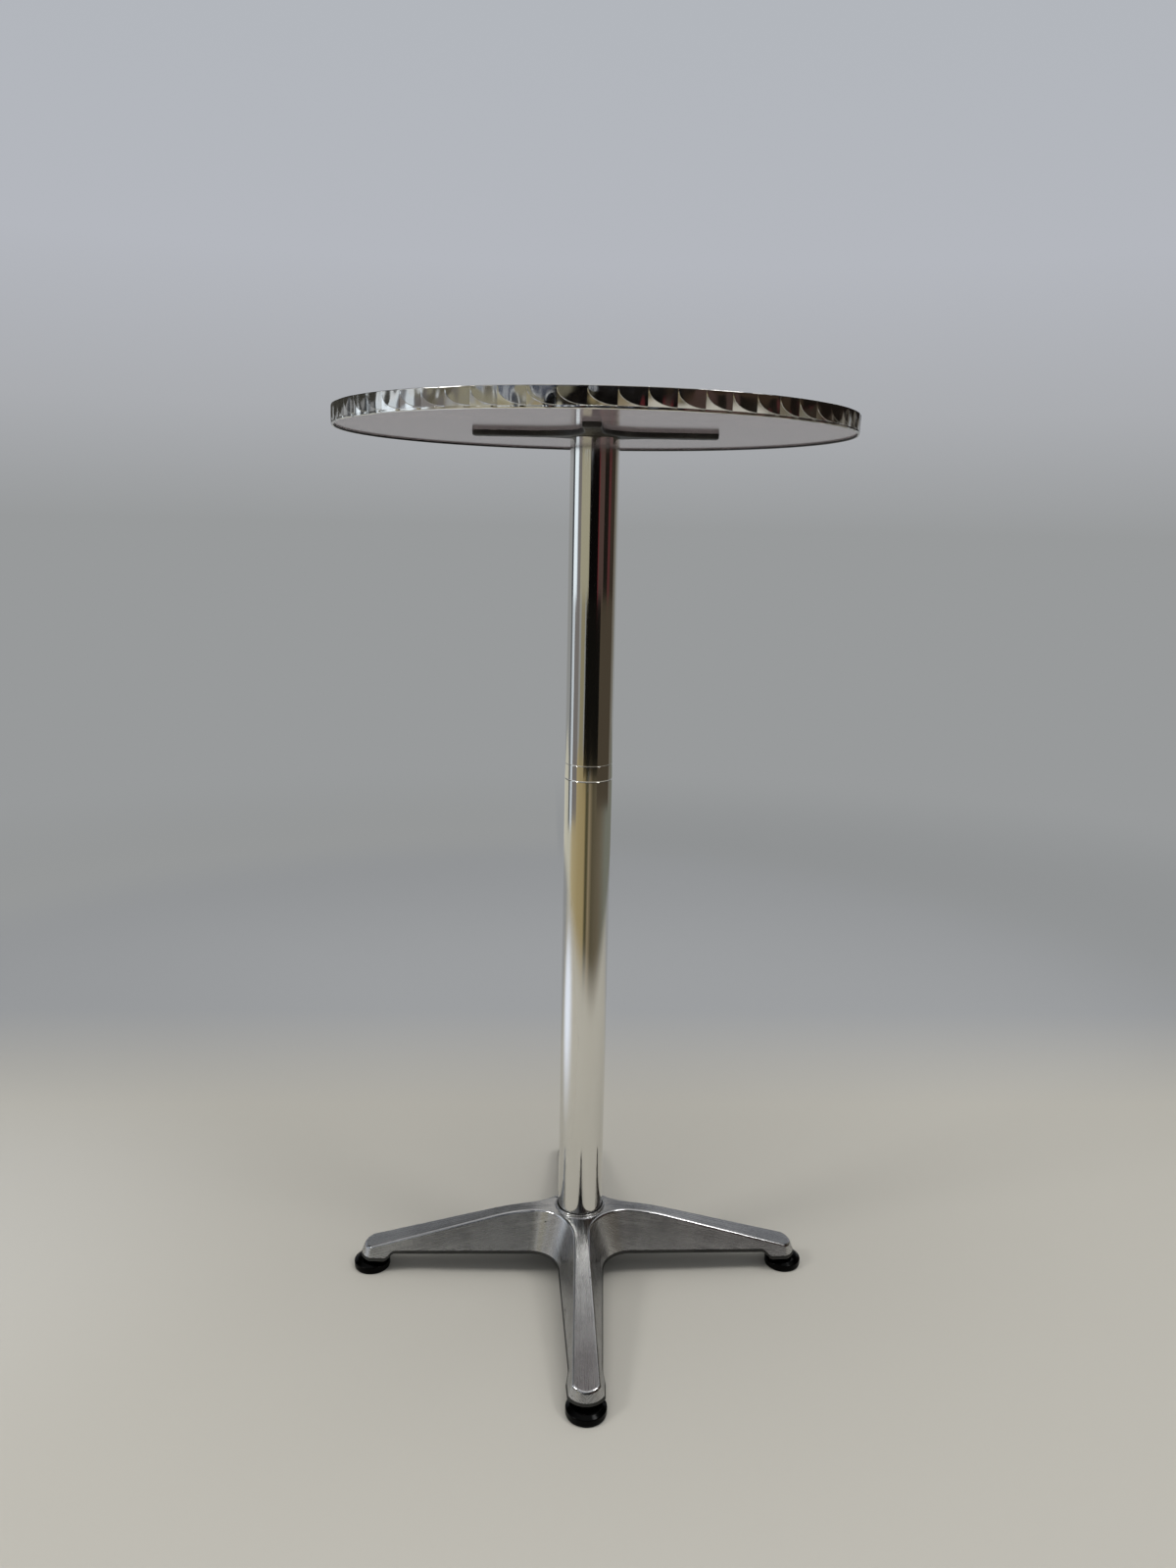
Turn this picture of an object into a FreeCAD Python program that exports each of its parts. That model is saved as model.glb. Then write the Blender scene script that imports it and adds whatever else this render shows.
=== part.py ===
import FreeCAD, Part
import math
import os

# Pub table: a round metal-clad top on a two-piece tube column and a four-arm cast base.
# Millimetres, +Z up. The origin is on the floor under the middle of the column, and the
# arms of the base point along X and Y, the front one along -Y.

V = FreeCAD.Vector
UP = V(0, 0, 1)

# ---------------------------------------------------------------- driving dimensions
overall_height = 1100.0

# Table top: a pressed steel pan over a board, closed below by a thin white backing sheet.
top_diameter = 600.0
skin_thickness = 0.8
rim_depth = 21.0            # height of the steel edge band
rim_corner = 2.0            # bevel between the top face and the band
hem_width = 2.8             # the band's lower edge is folded back on itself
board_thickness = 17.2      # with the backing sheet, an 18 mm white-faced board
backing_thickness = 0.8

# Column.
tube_diameter = 58.0
tube_wall = 1.5
lower_tube_length = 588.5
collar_height = 19.5        # visible band of the joining collar
collar_bevel = 0.7          # along its lower seam only
spigot_length = 22.0        # how far a collar or bracket spigot reaches into a tube
spigot_wall = 5.0
collar_web = 9.0            # inner disc of the collar that centres the coupling nut

# Tie rod that pulls the top bracket, tubes and base together.
rod_diameter = 9.9          # M10
coupling_nut_length = 40.0
rod_nut_flats = 17.0
rod_nut_height = 8.4
rod_stub = 5.0              # rod left showing below the nut
flat_washer_diameter = 30.0
flat_washer_thickness = 2.5
spring_washer_diameter = 18.1
spring_washer_thickness = 2.5
spring_washer_gap = 2.0
bracket_thread_depth = 25.0

# Top bracket: a four-arm spider screwed under the board.
bracket_reach = 143.0
bracket_arm_width = 22.0
bracket_taper = 0.008       # narrowing of each arm's half width per millimetre outwards
bracket_depth = 6.0
bracket_boss_diameter = 22.0
bracket_fillet = 60.0       # large, so that the arms run into each other round the hub
bracket_tip_radius = 60.0
bracket_draft = 3.0         # degrees
bracket_edge_bevel = 2.0
bracket_turn = -4.0         # degrees, how far the spider is turned on the column

# Wood screws, two in each bracket arm.
screw_radii = (68.0, 124.0)
screw_diameter = 4.4
screw_length = 17.5
screw_head_diameter = 8.4
screw_head_height = 2.4

# Base casting, seen from above a star of four tapering arms with hollow undersides.
base_half_width = 45.7      # half width of an arm at floor level, extended in to the centre
base_taper = 0.0604         # narrowing of that half width per millimetre outwards
base_fillet = 28.0          # radius between two arms, at floor level
base_reach = 298.4          # end of an arm at floor level
base_tip_radius = 32.0      # rounding of that end in plan, at floor level
base_draft = 20.0           # degrees, slope of every side wall
base_edge_bevel = 2.0
base_wall = 5.0
hollow_tip_radius = 60.0    # rounding in plan of the hollow's end behind the heel
crown_height = 88.4         # top of the arms at the hub
crown_radius = 340.0        # arc from the level hub to the straight slope of an arm
arm_tip_height = 32.5       # top of the arms above their ends
arm_underside_hub = 35.6    # height of the arms' lower edge, at the centre and at the heel
arm_underside_heel = 28.4
heel_length = 42.5          # solid end of an arm that stands lower and carries the foot
heel_slope_run = 9.5
rib_thickness = 4.0
rib_set_back = 8.0          # ribs stop this far above the arms' lower edge
hub_ring_diameter = 64.0
hub_ring_height = 3.1
hub_ring_bevel = 1.0
hub_core_diameter = 76.0
hub_core_depth = 18.0
hub_boss_diameter = 34.0
hub_boss_bottom = 60.0
nut_access = 6.0            # room between the washer and the ribs for a socket
tube_seat_depth = 8.5

# Levelling feet: a round plastic pad on a threaded stud.
foot_inset = 21.4           # foot's axis in from the end of an arm at floor level
foot_height = 19.0          # floor to the underside of the heel
pad_diameter = 47.4
pad_rim_height = 8.0
pad_dome_height = 15.6
pad_neck_diameter = 21.0
stud_diameter = 7.9         # M8
stud_length = 23.0          # above its hexagon head
stud_head_flats = 13.0
stud_head_height = 5.3
stud_head_bottom = 4.0

# Clearances, each one per side.
running_clearance = 0.05
sliding_clearance = 0.1
seat_clearance = 0.25

# ---------------------------------------------------------------- derived places
top_radius = top_diameter / 2
tube_radius = tube_diameter / 2
tube_bore_radius = tube_radius - tube_wall
rod_radius = rod_diameter / 2
stud_radius = stud_diameter / 2
spigot_radius = tube_bore_radius - sliding_clearance

board_top = overall_height - skin_thickness
board_bottom = board_top - board_thickness
underside = board_bottom - backing_thickness
rim_bottom = overall_height - rim_depth
bracket_shoulder = underside - bracket_depth
rod_top = bracket_shoulder - spigot_length + bracket_thread_depth

hub_top = crown_height + hub_ring_height
tube_seat = hub_top - tube_seat_depth
lower_tube_top = tube_seat + lower_tube_length
collar_top = lower_tube_top + collar_height
collar_middle = (lower_tube_top + collar_top) / 2

arm_end = base_reach - math.tan(math.radians(base_draft)) * foot_height
heel_start = arm_end - heel_length
foot_circle_radius = base_reach - foot_inset
washer_bottom = hub_boss_bottom - flat_washer_thickness
spring_bottom = washer_bottom - spring_washer_thickness
rod_nut_bottom = spring_bottom - rod_nut_height

foot_directions = {"front": -90, "right": 0, "back": 90, "left": 180}


# ---------------------------------------------------------------- helpers
def save(name, shape):
    """Write one sub-part as parts/NAME.step."""
    shape.exportStep(os.path.join("parts", name + ".step"))


def cylinder(radius, bottom, top, x=0.0, y=0.0):
    return Part.makeCylinder(radius, top - bottom, V(x, y, bottom))


def hexagon(flats, bottom, top):
    """Upright hexagonal bar, flats is the distance across two opposite sides."""
    corner = flats / math.sqrt(3)
    points = [V(corner * math.cos(math.radians(60 * k)), corner * math.sin(math.radians(60 * k)), bottom)
              for k in range(7)]
    return Part.Face(Part.makePolygon(points)).extrude(V(0, 0, top - bottom))


def turned(shape, degrees):
    copy = shape.copy()
    copy.rotate(V(), UP, degrees)
    return copy


def four_ways(shape):
    """The shape and its copies at 90, 180 and 270 degrees about Z."""
    return [turned(shape, 90 * k) for k in range(4)]


def round_arc(centre, radius, start, end):
    """Arc in the XZ plane about centre = (r, z), from start to end in degrees."""
    def at(degrees):
        angle = math.radians(degrees)
        return V(centre[0] + radius * math.cos(angle), 0, centre[1] + radius * math.sin(angle))
    return Part.Arc(at(start), at((start + end) / 2), at(end)).toShape()


def lathe(*path):
    """Solid of revolution about Z. The path holds (r, z) corners and ready-made edges in order."""
    edges = []
    first = None
    last = None
    for item in path:
        is_edge = isinstance(item, Part.Edge)
        start = item.valueAt(item.FirstParameter) if is_edge else V(item[0], 0, item[1])
        if last is not None and start.distanceToPoint(last) > 1e-6:
            edges.append(Part.makeLine(last, start))
        if is_edge:
            edges.append(item)
        first = first or start
        last = item.valueAt(item.LastParameter) if is_edge else start
    edges.append(Part.makeLine(last, first))
    return Part.Face(Part.Wire(edges)).revolve(V(), UP, 360)


def ring(outer_radius, inner_radius, bottom, top):
    return cylinder(outer_radius, bottom, top).cut(cylinder(inner_radius, bottom, top))


def faces_slope(face):
    """Upward share of a face's normal at the middle of its surface, from -1 to 1."""
    u0, u1, v0, v1 = face.ParameterRange
    return face.normalAt((u0 + u1) / 2, (v0 + v1) / 2).z


def edges_between(shape, is_first, is_second):
    """Edges that part a face of the first sort from a face of the second sort."""
    first = [edge for face in shape.Faces if is_first(face) for edge in face.Edges]
    second = [edge for face in shape.Faces if is_second(face) for edge in face.Edges]
    return [edge for edge in first if any(edge.isSame(other) for other in second)]


class Star:
    """Four tapering arms with round inner corners, arc-shaped ends and leaning walls.

    The plan's sizes hold at height level, and every wall leans inwards by slope above it.
    """

    def __init__(self, half_width, taper, fillet, reach, tip_radius, level, slope):
        self.half_width = half_width
        self.taper = taper
        self.fillet = fillet
        self.tip_radius = tip_radius
        self.tip_centre = reach - tip_radius
        self.level = level
        self.slope = slope
        self.stretch = math.hypot(1, taper)
        self.far = 2 * reach            # clear of any blank that the star is cut from
        self.corner = (fillet * self.stretch + half_width) / (1 + taper)

    def grow(self, z, inset):
        """How far the walls stand outside their place at the reference level."""
        return -self.slope * (z - self.level) - inset

    def gap_corners(self, z, inset):
        """Outline of the open corner between the arms along +X and +Y, from arm to arm."""
        radius = self.fillet - self.grow(z, inset)
        near = self.corner - radius / self.stretch
        along = self.corner - radius * self.taper / self.stretch
        side = self.half_width + self.grow(z, inset) * self.stretch - self.taper * self.far
        return [V(along, near, z), V(self.far, side, z), V(self.far, self.far, z),
                V(side, self.far, z), V(near, along, z)]

    def gap(self, bottom, top, inset):
        """Block that fills that corner: flat walls, and a cone where the arms' sides meet."""
        low = self.gap_corners(bottom, inset)
        high = self.gap_corners(top, inset)
        walls = [Part.Face(Part.makePolygon([low[k], low[k + 1], high[k + 1], high[k], low[k]]))
                 for k in range(4)]
        sweep = 90 - 2 * math.degrees(math.atan(self.taper))
        axis = V(self.corner, self.corner, 0)
        cone = Part.makeLine(low[0], high[0]).revolve(axis, UP, -sweep)
        ends = []
        for corners in (low, high):
            arcs = [edge for edge in cone.Edges
                    if all(abs(vertex.Z - corners[0].z) < 1e-6 for vertex in edge.Vertexes)]
            lines = [Part.makeLine(start, end) for start, end in zip(corners, corners[1:])]
            ends.append(Part.Face(Part.Wire(Part.__sortEdges__(lines + arcs))))
        shell = Part.Shell(walls + [cone] + ends)
        shell.sewShape()
        solid = Part.Solid(shell)
        return solid if solid.Volume > 0 else solid.reversed()

    def end(self, bottom, top, inset):
        """Block over the outer end of the arm along +X, less the cone that the end is part of."""
        half = self.half_width + abs(self.grow(bottom, inset))
        block = Part.makeBox(self.far, 2 * half, top - bottom, V(self.tip_centre, -half, bottom))
        cone = Part.makeCone(self.tip_radius + self.grow(bottom, inset),
                             self.tip_radius + self.grow(top, inset), top - bottom,
                             V(self.tip_centre, 0, bottom))
        cone.rotate(V(self.tip_centre, 0, 0), UP, 180)      # its seam faces the hub
        return block.cut(cone)

    def trim(self, blank, bottom, top, end_top, inset=0):
        """Cut a blank down to the star between two heights. inset moves every wall inwards."""
        gaps = four_ways(self.gap(bottom, top, inset))
        return blank.cut(gaps + four_ways(self.end(bottom, end_top, inset)))


# ---------------------------------------------------------------- table top
def tabletop_skin():
    """Pressed steel pan: flat top, bevelled corner, straight band and a hem folded inwards."""
    inner = top_radius - skin_thickness
    bevel = rim_corner
    inner_bevel = bevel - skin_thickness / 2
    hem_inner = top_radius - hem_width
    return lathe(
        (0, overall_height), (top_radius - bevel, overall_height), (top_radius, overall_height - bevel),
        (top_radius, rim_bottom), (hem_inner, rim_bottom),
        (hem_inner, underside), (hem_inner + skin_thickness, underside),
        (hem_inner + skin_thickness, rim_bottom + skin_thickness), (inner, rim_bottom + skin_thickness),
        (inner, board_top - inner_bevel), (inner - inner_bevel, board_top), (0, board_top),
    )


def screw_places():
    return [(radius, 90 * k + bracket_turn) for k in range(4) for radius in screw_radii]


def screw_holes(radius, bottom, top):
    holes = [turned(cylinder(radius, bottom, top, distance), angle) for distance, angle in screw_places()]
    return Part.makeCompound(holes)


def screw_tip():
    """Height that the wood screws reach inside the board."""
    return bracket_shoulder + screw_length


def tabletop_board():
    radius = top_radius - skin_thickness - sliding_clearance
    chamfer = rim_corner
    board = lathe((0, board_bottom), (radius, board_bottom), (radius, board_top - chamfer),
                  (radius - chamfer, board_top), (0, board_top))
    return board.cut(screw_holes(screw_diameter / 2 + running_clearance, board_bottom, screw_tip()))


def backing_sheet():
    radius = top_radius - skin_thickness - 2 * sliding_clearance
    sheet = cylinder(radius, underside, board_bottom)
    return sheet.cut(screw_holes(screw_diameter / 2 + running_clearance, underside, board_bottom))


# ---------------------------------------------------------------- top bracket
def top_bracket():
    """Cast spider: four arms that seat on the tube's end, a hollow spigot and a tapped boss."""
    far = bracket_reach + bracket_fillet
    half_width = bracket_arm_width / 2 + bracket_taper * bracket_reach / 2
    star = Star(half_width, bracket_taper, bracket_fillet, bracket_reach, bracket_tip_radius,
                underside, -math.tan(math.radians(bracket_draft)))
    blank = cylinder(far, bracket_shoulder, underside)
    arms = star.trim(blank, bracket_shoulder - 1, underside + 1, underside + 1)
    lower_edges = edges_between(arms, lambda face: faces_slope(face) < -0.9,
                                lambda face: abs(faces_slope(face)) < 0.5)
    arms = arms.makeChamfer(bracket_edge_bevel, lower_edges)
    spigot_bottom = bracket_shoulder - spigot_length
    spigot = ring(spigot_radius, spigot_radius - spigot_wall, spigot_bottom, bracket_shoulder)
    boss = cylinder(bracket_boss_diameter / 2, spigot_bottom, bracket_shoulder)
    bracket = arms.fuse([spigot, boss]).removeSplitter()
    thread = cylinder(rod_radius + running_clearance, spigot_bottom, rod_top)
    return turned(bracket.cut(thread), bracket_turn).cut(screws(running_clearance))


def screw_shape(distance, clearance):
    """Countersunk wood screw pointing up into the board, with its head in the bracket arm."""
    shank = screw_diameter / 2 + clearance
    head = screw_head_diameter / 2 + clearance
    tip = screw_tip()
    screw = lathe((0, bracket_shoulder), (head, bracket_shoulder),
                  (shank, bracket_shoulder + screw_head_height), (shank, tip), (0, tip))
    screw.translate(V(distance, 0, 0))
    return screw


def screws(clearance):
    return Part.makeCompound([turned(screw_shape(distance, clearance), angle)
                              for distance, angle in screw_places()])


# ---------------------------------------------------------------- column
def upper_tube():
    return ring(tube_radius, tube_bore_radius, collar_top, bracket_shoulder)


def lower_tube():
    return ring(tube_radius, tube_bore_radius, tube_seat, lower_tube_top)


def joining_collar():
    """Turned band as wide as the tubes, with a hollow spigot into each and a web for the nut."""
    bore = spigot_radius - spigot_wall
    low = lower_tube_top - spigot_length
    high = collar_top + spigot_length
    body = lathe((bore, low), (spigot_radius, low), (spigot_radius, lower_tube_top),
                 (tube_radius - collar_bevel, lower_tube_top),
                 (tube_radius, lower_tube_top + collar_bevel),
                 (tube_radius, collar_top), (spigot_radius, collar_top), (spigot_radius, high), (bore, high))
    nut_corner = rod_nut_flats / math.sqrt(3)
    web = ring(bore, nut_corner + seat_clearance, collar_middle - collar_web / 2,
               collar_middle + collar_web / 2)
    return body.fuse(web).removeSplitter()


def rod_nut(bottom, top):
    """Hexagon nut or coupling nut for the tie rod."""
    return hexagon(rod_nut_flats, bottom, top).cut(cylinder(rod_radius + running_clearance, bottom, top))


def flat_washer():
    return ring(flat_washer_diameter / 2, rod_radius + seat_clearance, washer_bottom, hub_boss_bottom)


def spring_washer():
    """Split ring, flat because the nut has pulled it down."""
    radius = spring_washer_diameter / 2
    washer = ring(radius, rod_radius + seat_clearance, spring_bottom, washer_bottom)
    slot = Part.makeBox(radius, spring_washer_gap, spring_washer_thickness,
                        V(0, -spring_washer_gap / 2, spring_bottom))
    return washer.cut(slot)


# ---------------------------------------------------------------- base casting
def arm_slope():
    """Angle of the straight slope that leaves the crown's arc and ends at the arm's tip height."""
    across = arm_end - hub_ring_diameter / 2
    up = arm_tip_height - (crown_height - crown_radius)
    return math.atan2(across, up) - math.acos(crown_radius / math.hypot(across, up))


def crown_edges(lowered, far):
    """Edges of the arms' top line in the XZ plane, from the far end in to the hub's axis."""
    angle = arm_slope()
    hub_radius = hub_ring_diameter / 2
    height = crown_height - lowered
    arc_radius = crown_radius - lowered
    arc_end_x = hub_radius + arc_radius * math.sin(angle)
    arc_end_z = height - arc_radius * (1 - math.cos(angle))
    arc = round_arc((hub_radius, height - arc_radius), arc_radius, 90 - math.degrees(angle), 90)
    end = (far, arc_end_z - (far - arc_end_x) * math.tan(angle))
    return end, arc, (0, height)


def arm_underside(radius):
    """Height of the arms' lower edge between the hub and the heel."""
    return arm_underside_hub + (arm_underside_heel - arm_underside_hub) * radius / heel_start


def base_outside():
    """The casting's outer form: drafted star walls cut by the sloping tops and the underside."""
    far = base_reach + base_fillet
    slope = math.tan(math.radians(base_draft))
    star = Star(base_half_width, base_taper, base_fillet, base_reach, base_tip_radius, 0, slope)
    blank = lathe((0, arm_underside_hub), (heel_start, arm_underside_heel),
                  (heel_start + heel_slope_run, foot_height), (far, foot_height),
                  *crown_edges(0, far))
    body = star.trim(blank, foot_height - 1, crown_height + 1, crown_height / 2)
    upper_edges = edges_between(body, lambda face: faces_slope(face) > 0.9,
                                lambda face: abs(faces_slope(face)) < 0.9)
    tip_corners = [edge for edge in body.Edges if is_tip_corner(edge)]
    return body.makeChamfer(base_edge_bevel, upper_edges + tip_corners)


def is_tip_corner(edge):
    """True for the four pairs of upright edges where an arm's sides meet its round end."""
    ends = [vertex.Point for vertex in edge.Vertexes]
    if len(ends) != 2:
        return False
    outside = min(math.hypot(end.x, end.y) for end in ends) > heel_start + heel_slope_run
    return outside and abs(ends[0].z - ends[1].z) > base_edge_bevel


def base_hollow():
    """Space under the arms: the outer walls and tops moved in by the wall thickness."""
    slope = math.tan(math.radians(base_draft))
    star = Star(base_half_width, base_taper, base_fillet, heel_start, hollow_tip_radius, 0, slope)
    blank = lathe((0, 0), (base_reach, 0), *crown_edges(base_wall, base_reach))
    return star.trim(blank, -1, crown_height, crown_height / 2, base_wall)


def base_ribs(outside):
    """One upright web along each arm, set back from its lower edge and clear of the nut."""
    slab = Part.makeBox(heel_start, rib_thickness, crown_height, V(0, -rib_thickness / 2, 0))
    below = lathe((0, 0), (base_reach, 0), (base_reach, arm_underside(base_reach) + rib_set_back),
                  (0, arm_underside(0) + rib_set_back))
    access = cylinder(flat_washer_diameter / 2 + nut_access, 0, hub_boss_bottom)
    slab = slab.cut([below, access])
    return [rib.common(outside) for rib in four_ways(slab)]


def hub_ring():
    """Raised lip round the tube's seat, bevelled along its top."""
    radius = hub_ring_diameter / 2
    return lathe((0, crown_height - 1), (radius, crown_height - 1), (radius, hub_top - hub_ring_bevel),
                 (radius - hub_ring_bevel, hub_top), (0, hub_top))


def base_casting():
    outside = base_outside()
    ribs = base_ribs(outside)
    core = cylinder(hub_core_diameter / 2, crown_height - hub_core_depth, crown_height)
    core = core.common(outside)
    boss = cylinder(hub_boss_diameter / 2, hub_boss_bottom, crown_height)
    casting = outside.cut(base_hollow()).fuse(ribs + [core, boss, hub_ring()]).removeSplitter()
    seat = ring(tube_radius + seat_clearance, tube_bore_radius - seat_clearance, tube_seat, hub_top)
    rod_hole = cylinder(rod_radius + seat_clearance, hub_boss_bottom, hub_top)
    stud_top = stud_head_bottom + stud_head_height + stud_length
    stud_hole = cylinder(stud_radius + running_clearance, foot_height, stud_top + 1, foot_circle_radius)
    for hole in [seat, rod_hole] + four_ways(stud_hole):
        casting = casting.cut(hole)
    return casting


# ---------------------------------------------------------------- levelling feet
def foot_stud():
    """Threaded stud with the hexagon head that the pad is moulded round, on the Z axis."""
    head_top = stud_head_bottom + stud_head_height
    head = hexagon(stud_head_flats, stud_head_bottom, head_top)
    return head.fuse(cylinder(stud_radius, head_top, head_top + stud_length)).removeSplitter()


def foot_pad():
    """Round pad: upright rim, a shallow cone above it and a short neck."""
    radius = pad_diameter / 2
    neck = pad_neck_diameter / 2
    top = foot_height - seat_clearance
    pad = lathe((0, 0), (radius, 0), (radius, pad_rim_height), (neck, pad_dome_height),
                (neck, top), (0, top))
    return pad.cut(foot_stud())


def at_foot(shape, degrees):
    copy = shape.copy()
    copy.translate(V(foot_circle_radius, 0, 0))
    return turned(copy, degrees)


# ---------------------------------------------------------------- writing the sub-parts
def sub_parts():
    nut_bottom = collar_middle - coupling_nut_length / 2
    nut_top = collar_middle + coupling_nut_length / 2
    pieces = {
        "tabletop_skin": tabletop_skin(),
        "tabletop_board": tabletop_board(),
        "backing_sheet": backing_sheet(),
        "top_bracket": top_bracket(),
        "bracket_screws": screws(0),
        "upper_tube": upper_tube(),
        "joining_collar": joining_collar(),
        "lower_tube": lower_tube(),
        "upper_tie_rod": cylinder(rod_radius, collar_middle, rod_top),
        "lower_tie_rod": cylinder(rod_radius, rod_nut_bottom - rod_stub, collar_middle),
        "rod_coupling_nut": rod_nut(nut_bottom, nut_top),
        "base_casting": base_casting(),
        "base_flat_washer": flat_washer(),
        "base_spring_washer": spring_washer(),
        "base_nut": rod_nut(rod_nut_bottom, spring_bottom),
    }
    for side, degrees in foot_directions.items():
        pieces["foot_pad_" + side] = at_foot(foot_pad(), degrees)
        pieces["foot_stud_" + side] = at_foot(foot_stud(), degrees)
    return pieces


os.makedirs("parts", exist_ok=True)
for name, shape in sub_parts().items():
    save(name, shape)
    print("%-20s solids %d  valid %s  volume %.1f cm3" % (name, len(shape.Solids), shape.isValid(),
                                                          shape.Volume / 1000))
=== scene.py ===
# %% [markdown]
# # A tall pub table
#
# The table has a steel-clad round top, a cast spider bracket under it, a column of two tubes joined
# by a collar, and a cast aluminium base with four arms on levelling feet. The CAD model is loaded
# first and stays as the fixed frame. Each new surface is worked out with numpy from the same sizes
# as the frame, put where the frame says, and stands for the plain CAD node below it.

import math
from functools import partial

import bpy
import bmesh
import numpy as np
from mathutils import Matrix, Vector


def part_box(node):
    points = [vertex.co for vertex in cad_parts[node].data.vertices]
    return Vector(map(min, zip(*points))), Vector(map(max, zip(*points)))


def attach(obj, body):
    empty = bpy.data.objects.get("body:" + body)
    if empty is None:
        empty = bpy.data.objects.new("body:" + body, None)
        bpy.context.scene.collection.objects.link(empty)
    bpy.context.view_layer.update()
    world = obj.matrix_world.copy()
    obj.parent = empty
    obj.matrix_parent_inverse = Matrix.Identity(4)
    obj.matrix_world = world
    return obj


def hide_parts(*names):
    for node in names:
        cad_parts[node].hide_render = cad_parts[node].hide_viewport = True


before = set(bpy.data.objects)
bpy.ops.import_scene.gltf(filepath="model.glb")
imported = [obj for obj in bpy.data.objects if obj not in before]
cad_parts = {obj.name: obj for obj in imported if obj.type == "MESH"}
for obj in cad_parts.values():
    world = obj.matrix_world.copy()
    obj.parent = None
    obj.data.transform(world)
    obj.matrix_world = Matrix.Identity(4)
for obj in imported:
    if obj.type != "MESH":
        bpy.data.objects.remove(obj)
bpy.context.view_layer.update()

MM = 0.001

# %% [markdown]
# ## Helpers for colours and nodes
#
# Colours are written as sRGB hex values, the way a paint chart gives them. Blender's shaders want
# linear light, so one function turns them. Another adds a shader node, sets its options, fills its
# sockets and gives back an output. Nodes could be named and linked one by one, but this way every
# material below reads as a list of short steps.

# %% Colour and node helpers
def linear(code):
    """sRGB hex to linear light: a channel c becomes ((c + 0.055) / 1.055) ** 2.4 above 0.04."""
    c = np.array([int(code[k:k + 2], 16) for k in (1, 3, 5)]) / 255
    rgb = np.where(c <= 0.04045, c / 12.92, ((c + 0.055) / 1.055) ** 2.4)
    return (*rgb.tolist(), 1.0)


def feed(node, *values, **named):
    """Fill a node's sockets: plain values in order, and names with a capital by name.

    An underscore in a name stands for a space, names in lower case are the node's options, and an
    output given as a value is linked.
    """
    sockets = dict(enumerate(values))
    for key, value in named.items():
        if key[0].isupper():
            sockets[key.replace("_", " ")] = value
        else:
            setattr(node, key, value)
    for key, value in sockets.items():
        if isinstance(value, bpy.types.NodeSocket):
            node.id_data.links.new(value, node.inputs[key])
        else:
            node.inputs[key].default_value = value


def add_node(tree, kind, *values, out=None, **named):
    """Add a node and fill it as above. Gives back the output out, or else the first in use."""
    node = tree.nodes.new("ShaderNode" + kind)
    feed(node, *values, **named)
    return node.outputs[out] if out else next(each for each in node.outputs if each.enabled)


def new_material(name, **settings):
    """A material, the function that adds a node to it, and its Principled shader."""
    material = bpy.data.materials.new(name)
    material.use_nodes = True
    shader = material.node_tree.nodes["Principled BSDF"]
    feed(shader, **settings)
    print("material", name)
    return material, partial(add_node, material.node_tree), shader


def set_stops(ramp, stops):
    """Colours that run through (share, colour) stops, which are given in rising order."""
    elements = ramp.node.color_ramp.elements
    for share, colour in stops[1:-1]:
        elements.new(share).color = linear(colour)
    for end, (share, colour) in ((0, stops[0]), (len(elements) - 1, stops[-1])):
        elements[end].position = share
        elements[end].color = linear(colour)


# %% [markdown]
# ## The camera
#
# The camera is low and close: just under the table top's height, 1.4 m away, looking 12 degrees
# down. It could be aimed by a constraint, but a matrix from three angles also holds its slight
# roll. The lens is a short one of about 27 mm, so the column narrows towards the floor.

# %% Camera
def aimed(place, yaw, pitch, roll):
    """Camera matrix whose columns are right, up and back, from yaw, pitch and roll in degrees."""
    yaw, pitch, roll = (math.radians(angle) for angle in (yaw, pitch, roll))
    ahead = Vector((math.sin(yaw) * math.cos(pitch), math.cos(yaw) * math.cos(pitch),
                    -math.sin(pitch)))
    level = Vector((math.cos(yaw), -math.sin(yaw), 0))
    upright = level.cross(ahead)
    right = math.cos(roll) * level + math.sin(roll) * upright
    up = math.cos(roll) * upright - math.sin(roll) * level
    matrix = Matrix((right, up, -ahead)).transposed().to_4x4()
    matrix.translation = place
    return matrix


lens = bpy.data.cameras.new("camera")
lens.sensor_width = 36
lens.lens = 27.10
camera = bpy.data.objects.new("camera", lens)
camera.matrix_world = aimed((-0.0605, -1.4227, 0.9732), yaw=2.42, pitch=12.26, roll=1.16)
bpy.context.scene.collection.objects.link(camera)
bpy.context.scene.camera = camera
print("lens", lens.lens, "mm")

# %% [markdown]
# ## The floor
#
# A pale sheet runs under the table and fades into the horizon's tone, so that no edge shows. A
# curved backdrop would do as well in front, but a fading floor looks the same from every side.

# %% Sheets and the floor
FLOOR = "#bdb9af"
FLOOR_BEHIND = "#a6a7a8"
HORIZON = "#989a9b"


def level_corners(left, right, front, back, z):
    """Corners of a level sheet, in metres."""
    return [(left, front, z), (right, front, z), (right, back, z), (left, back, z)]


def flat_sheet(name, points, quads=((0, 1, 2, 3),)):
    """A sheet of quads, in metres; one quad through four corners if no quads are given."""
    mesh = bpy.data.meshes.new(name)
    mesh.from_pydata(points, [], quads)
    sheet = bpy.data.objects.new(name, mesh)
    bpy.context.scene.collection.objects.link(sheet)
    return sheet


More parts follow.
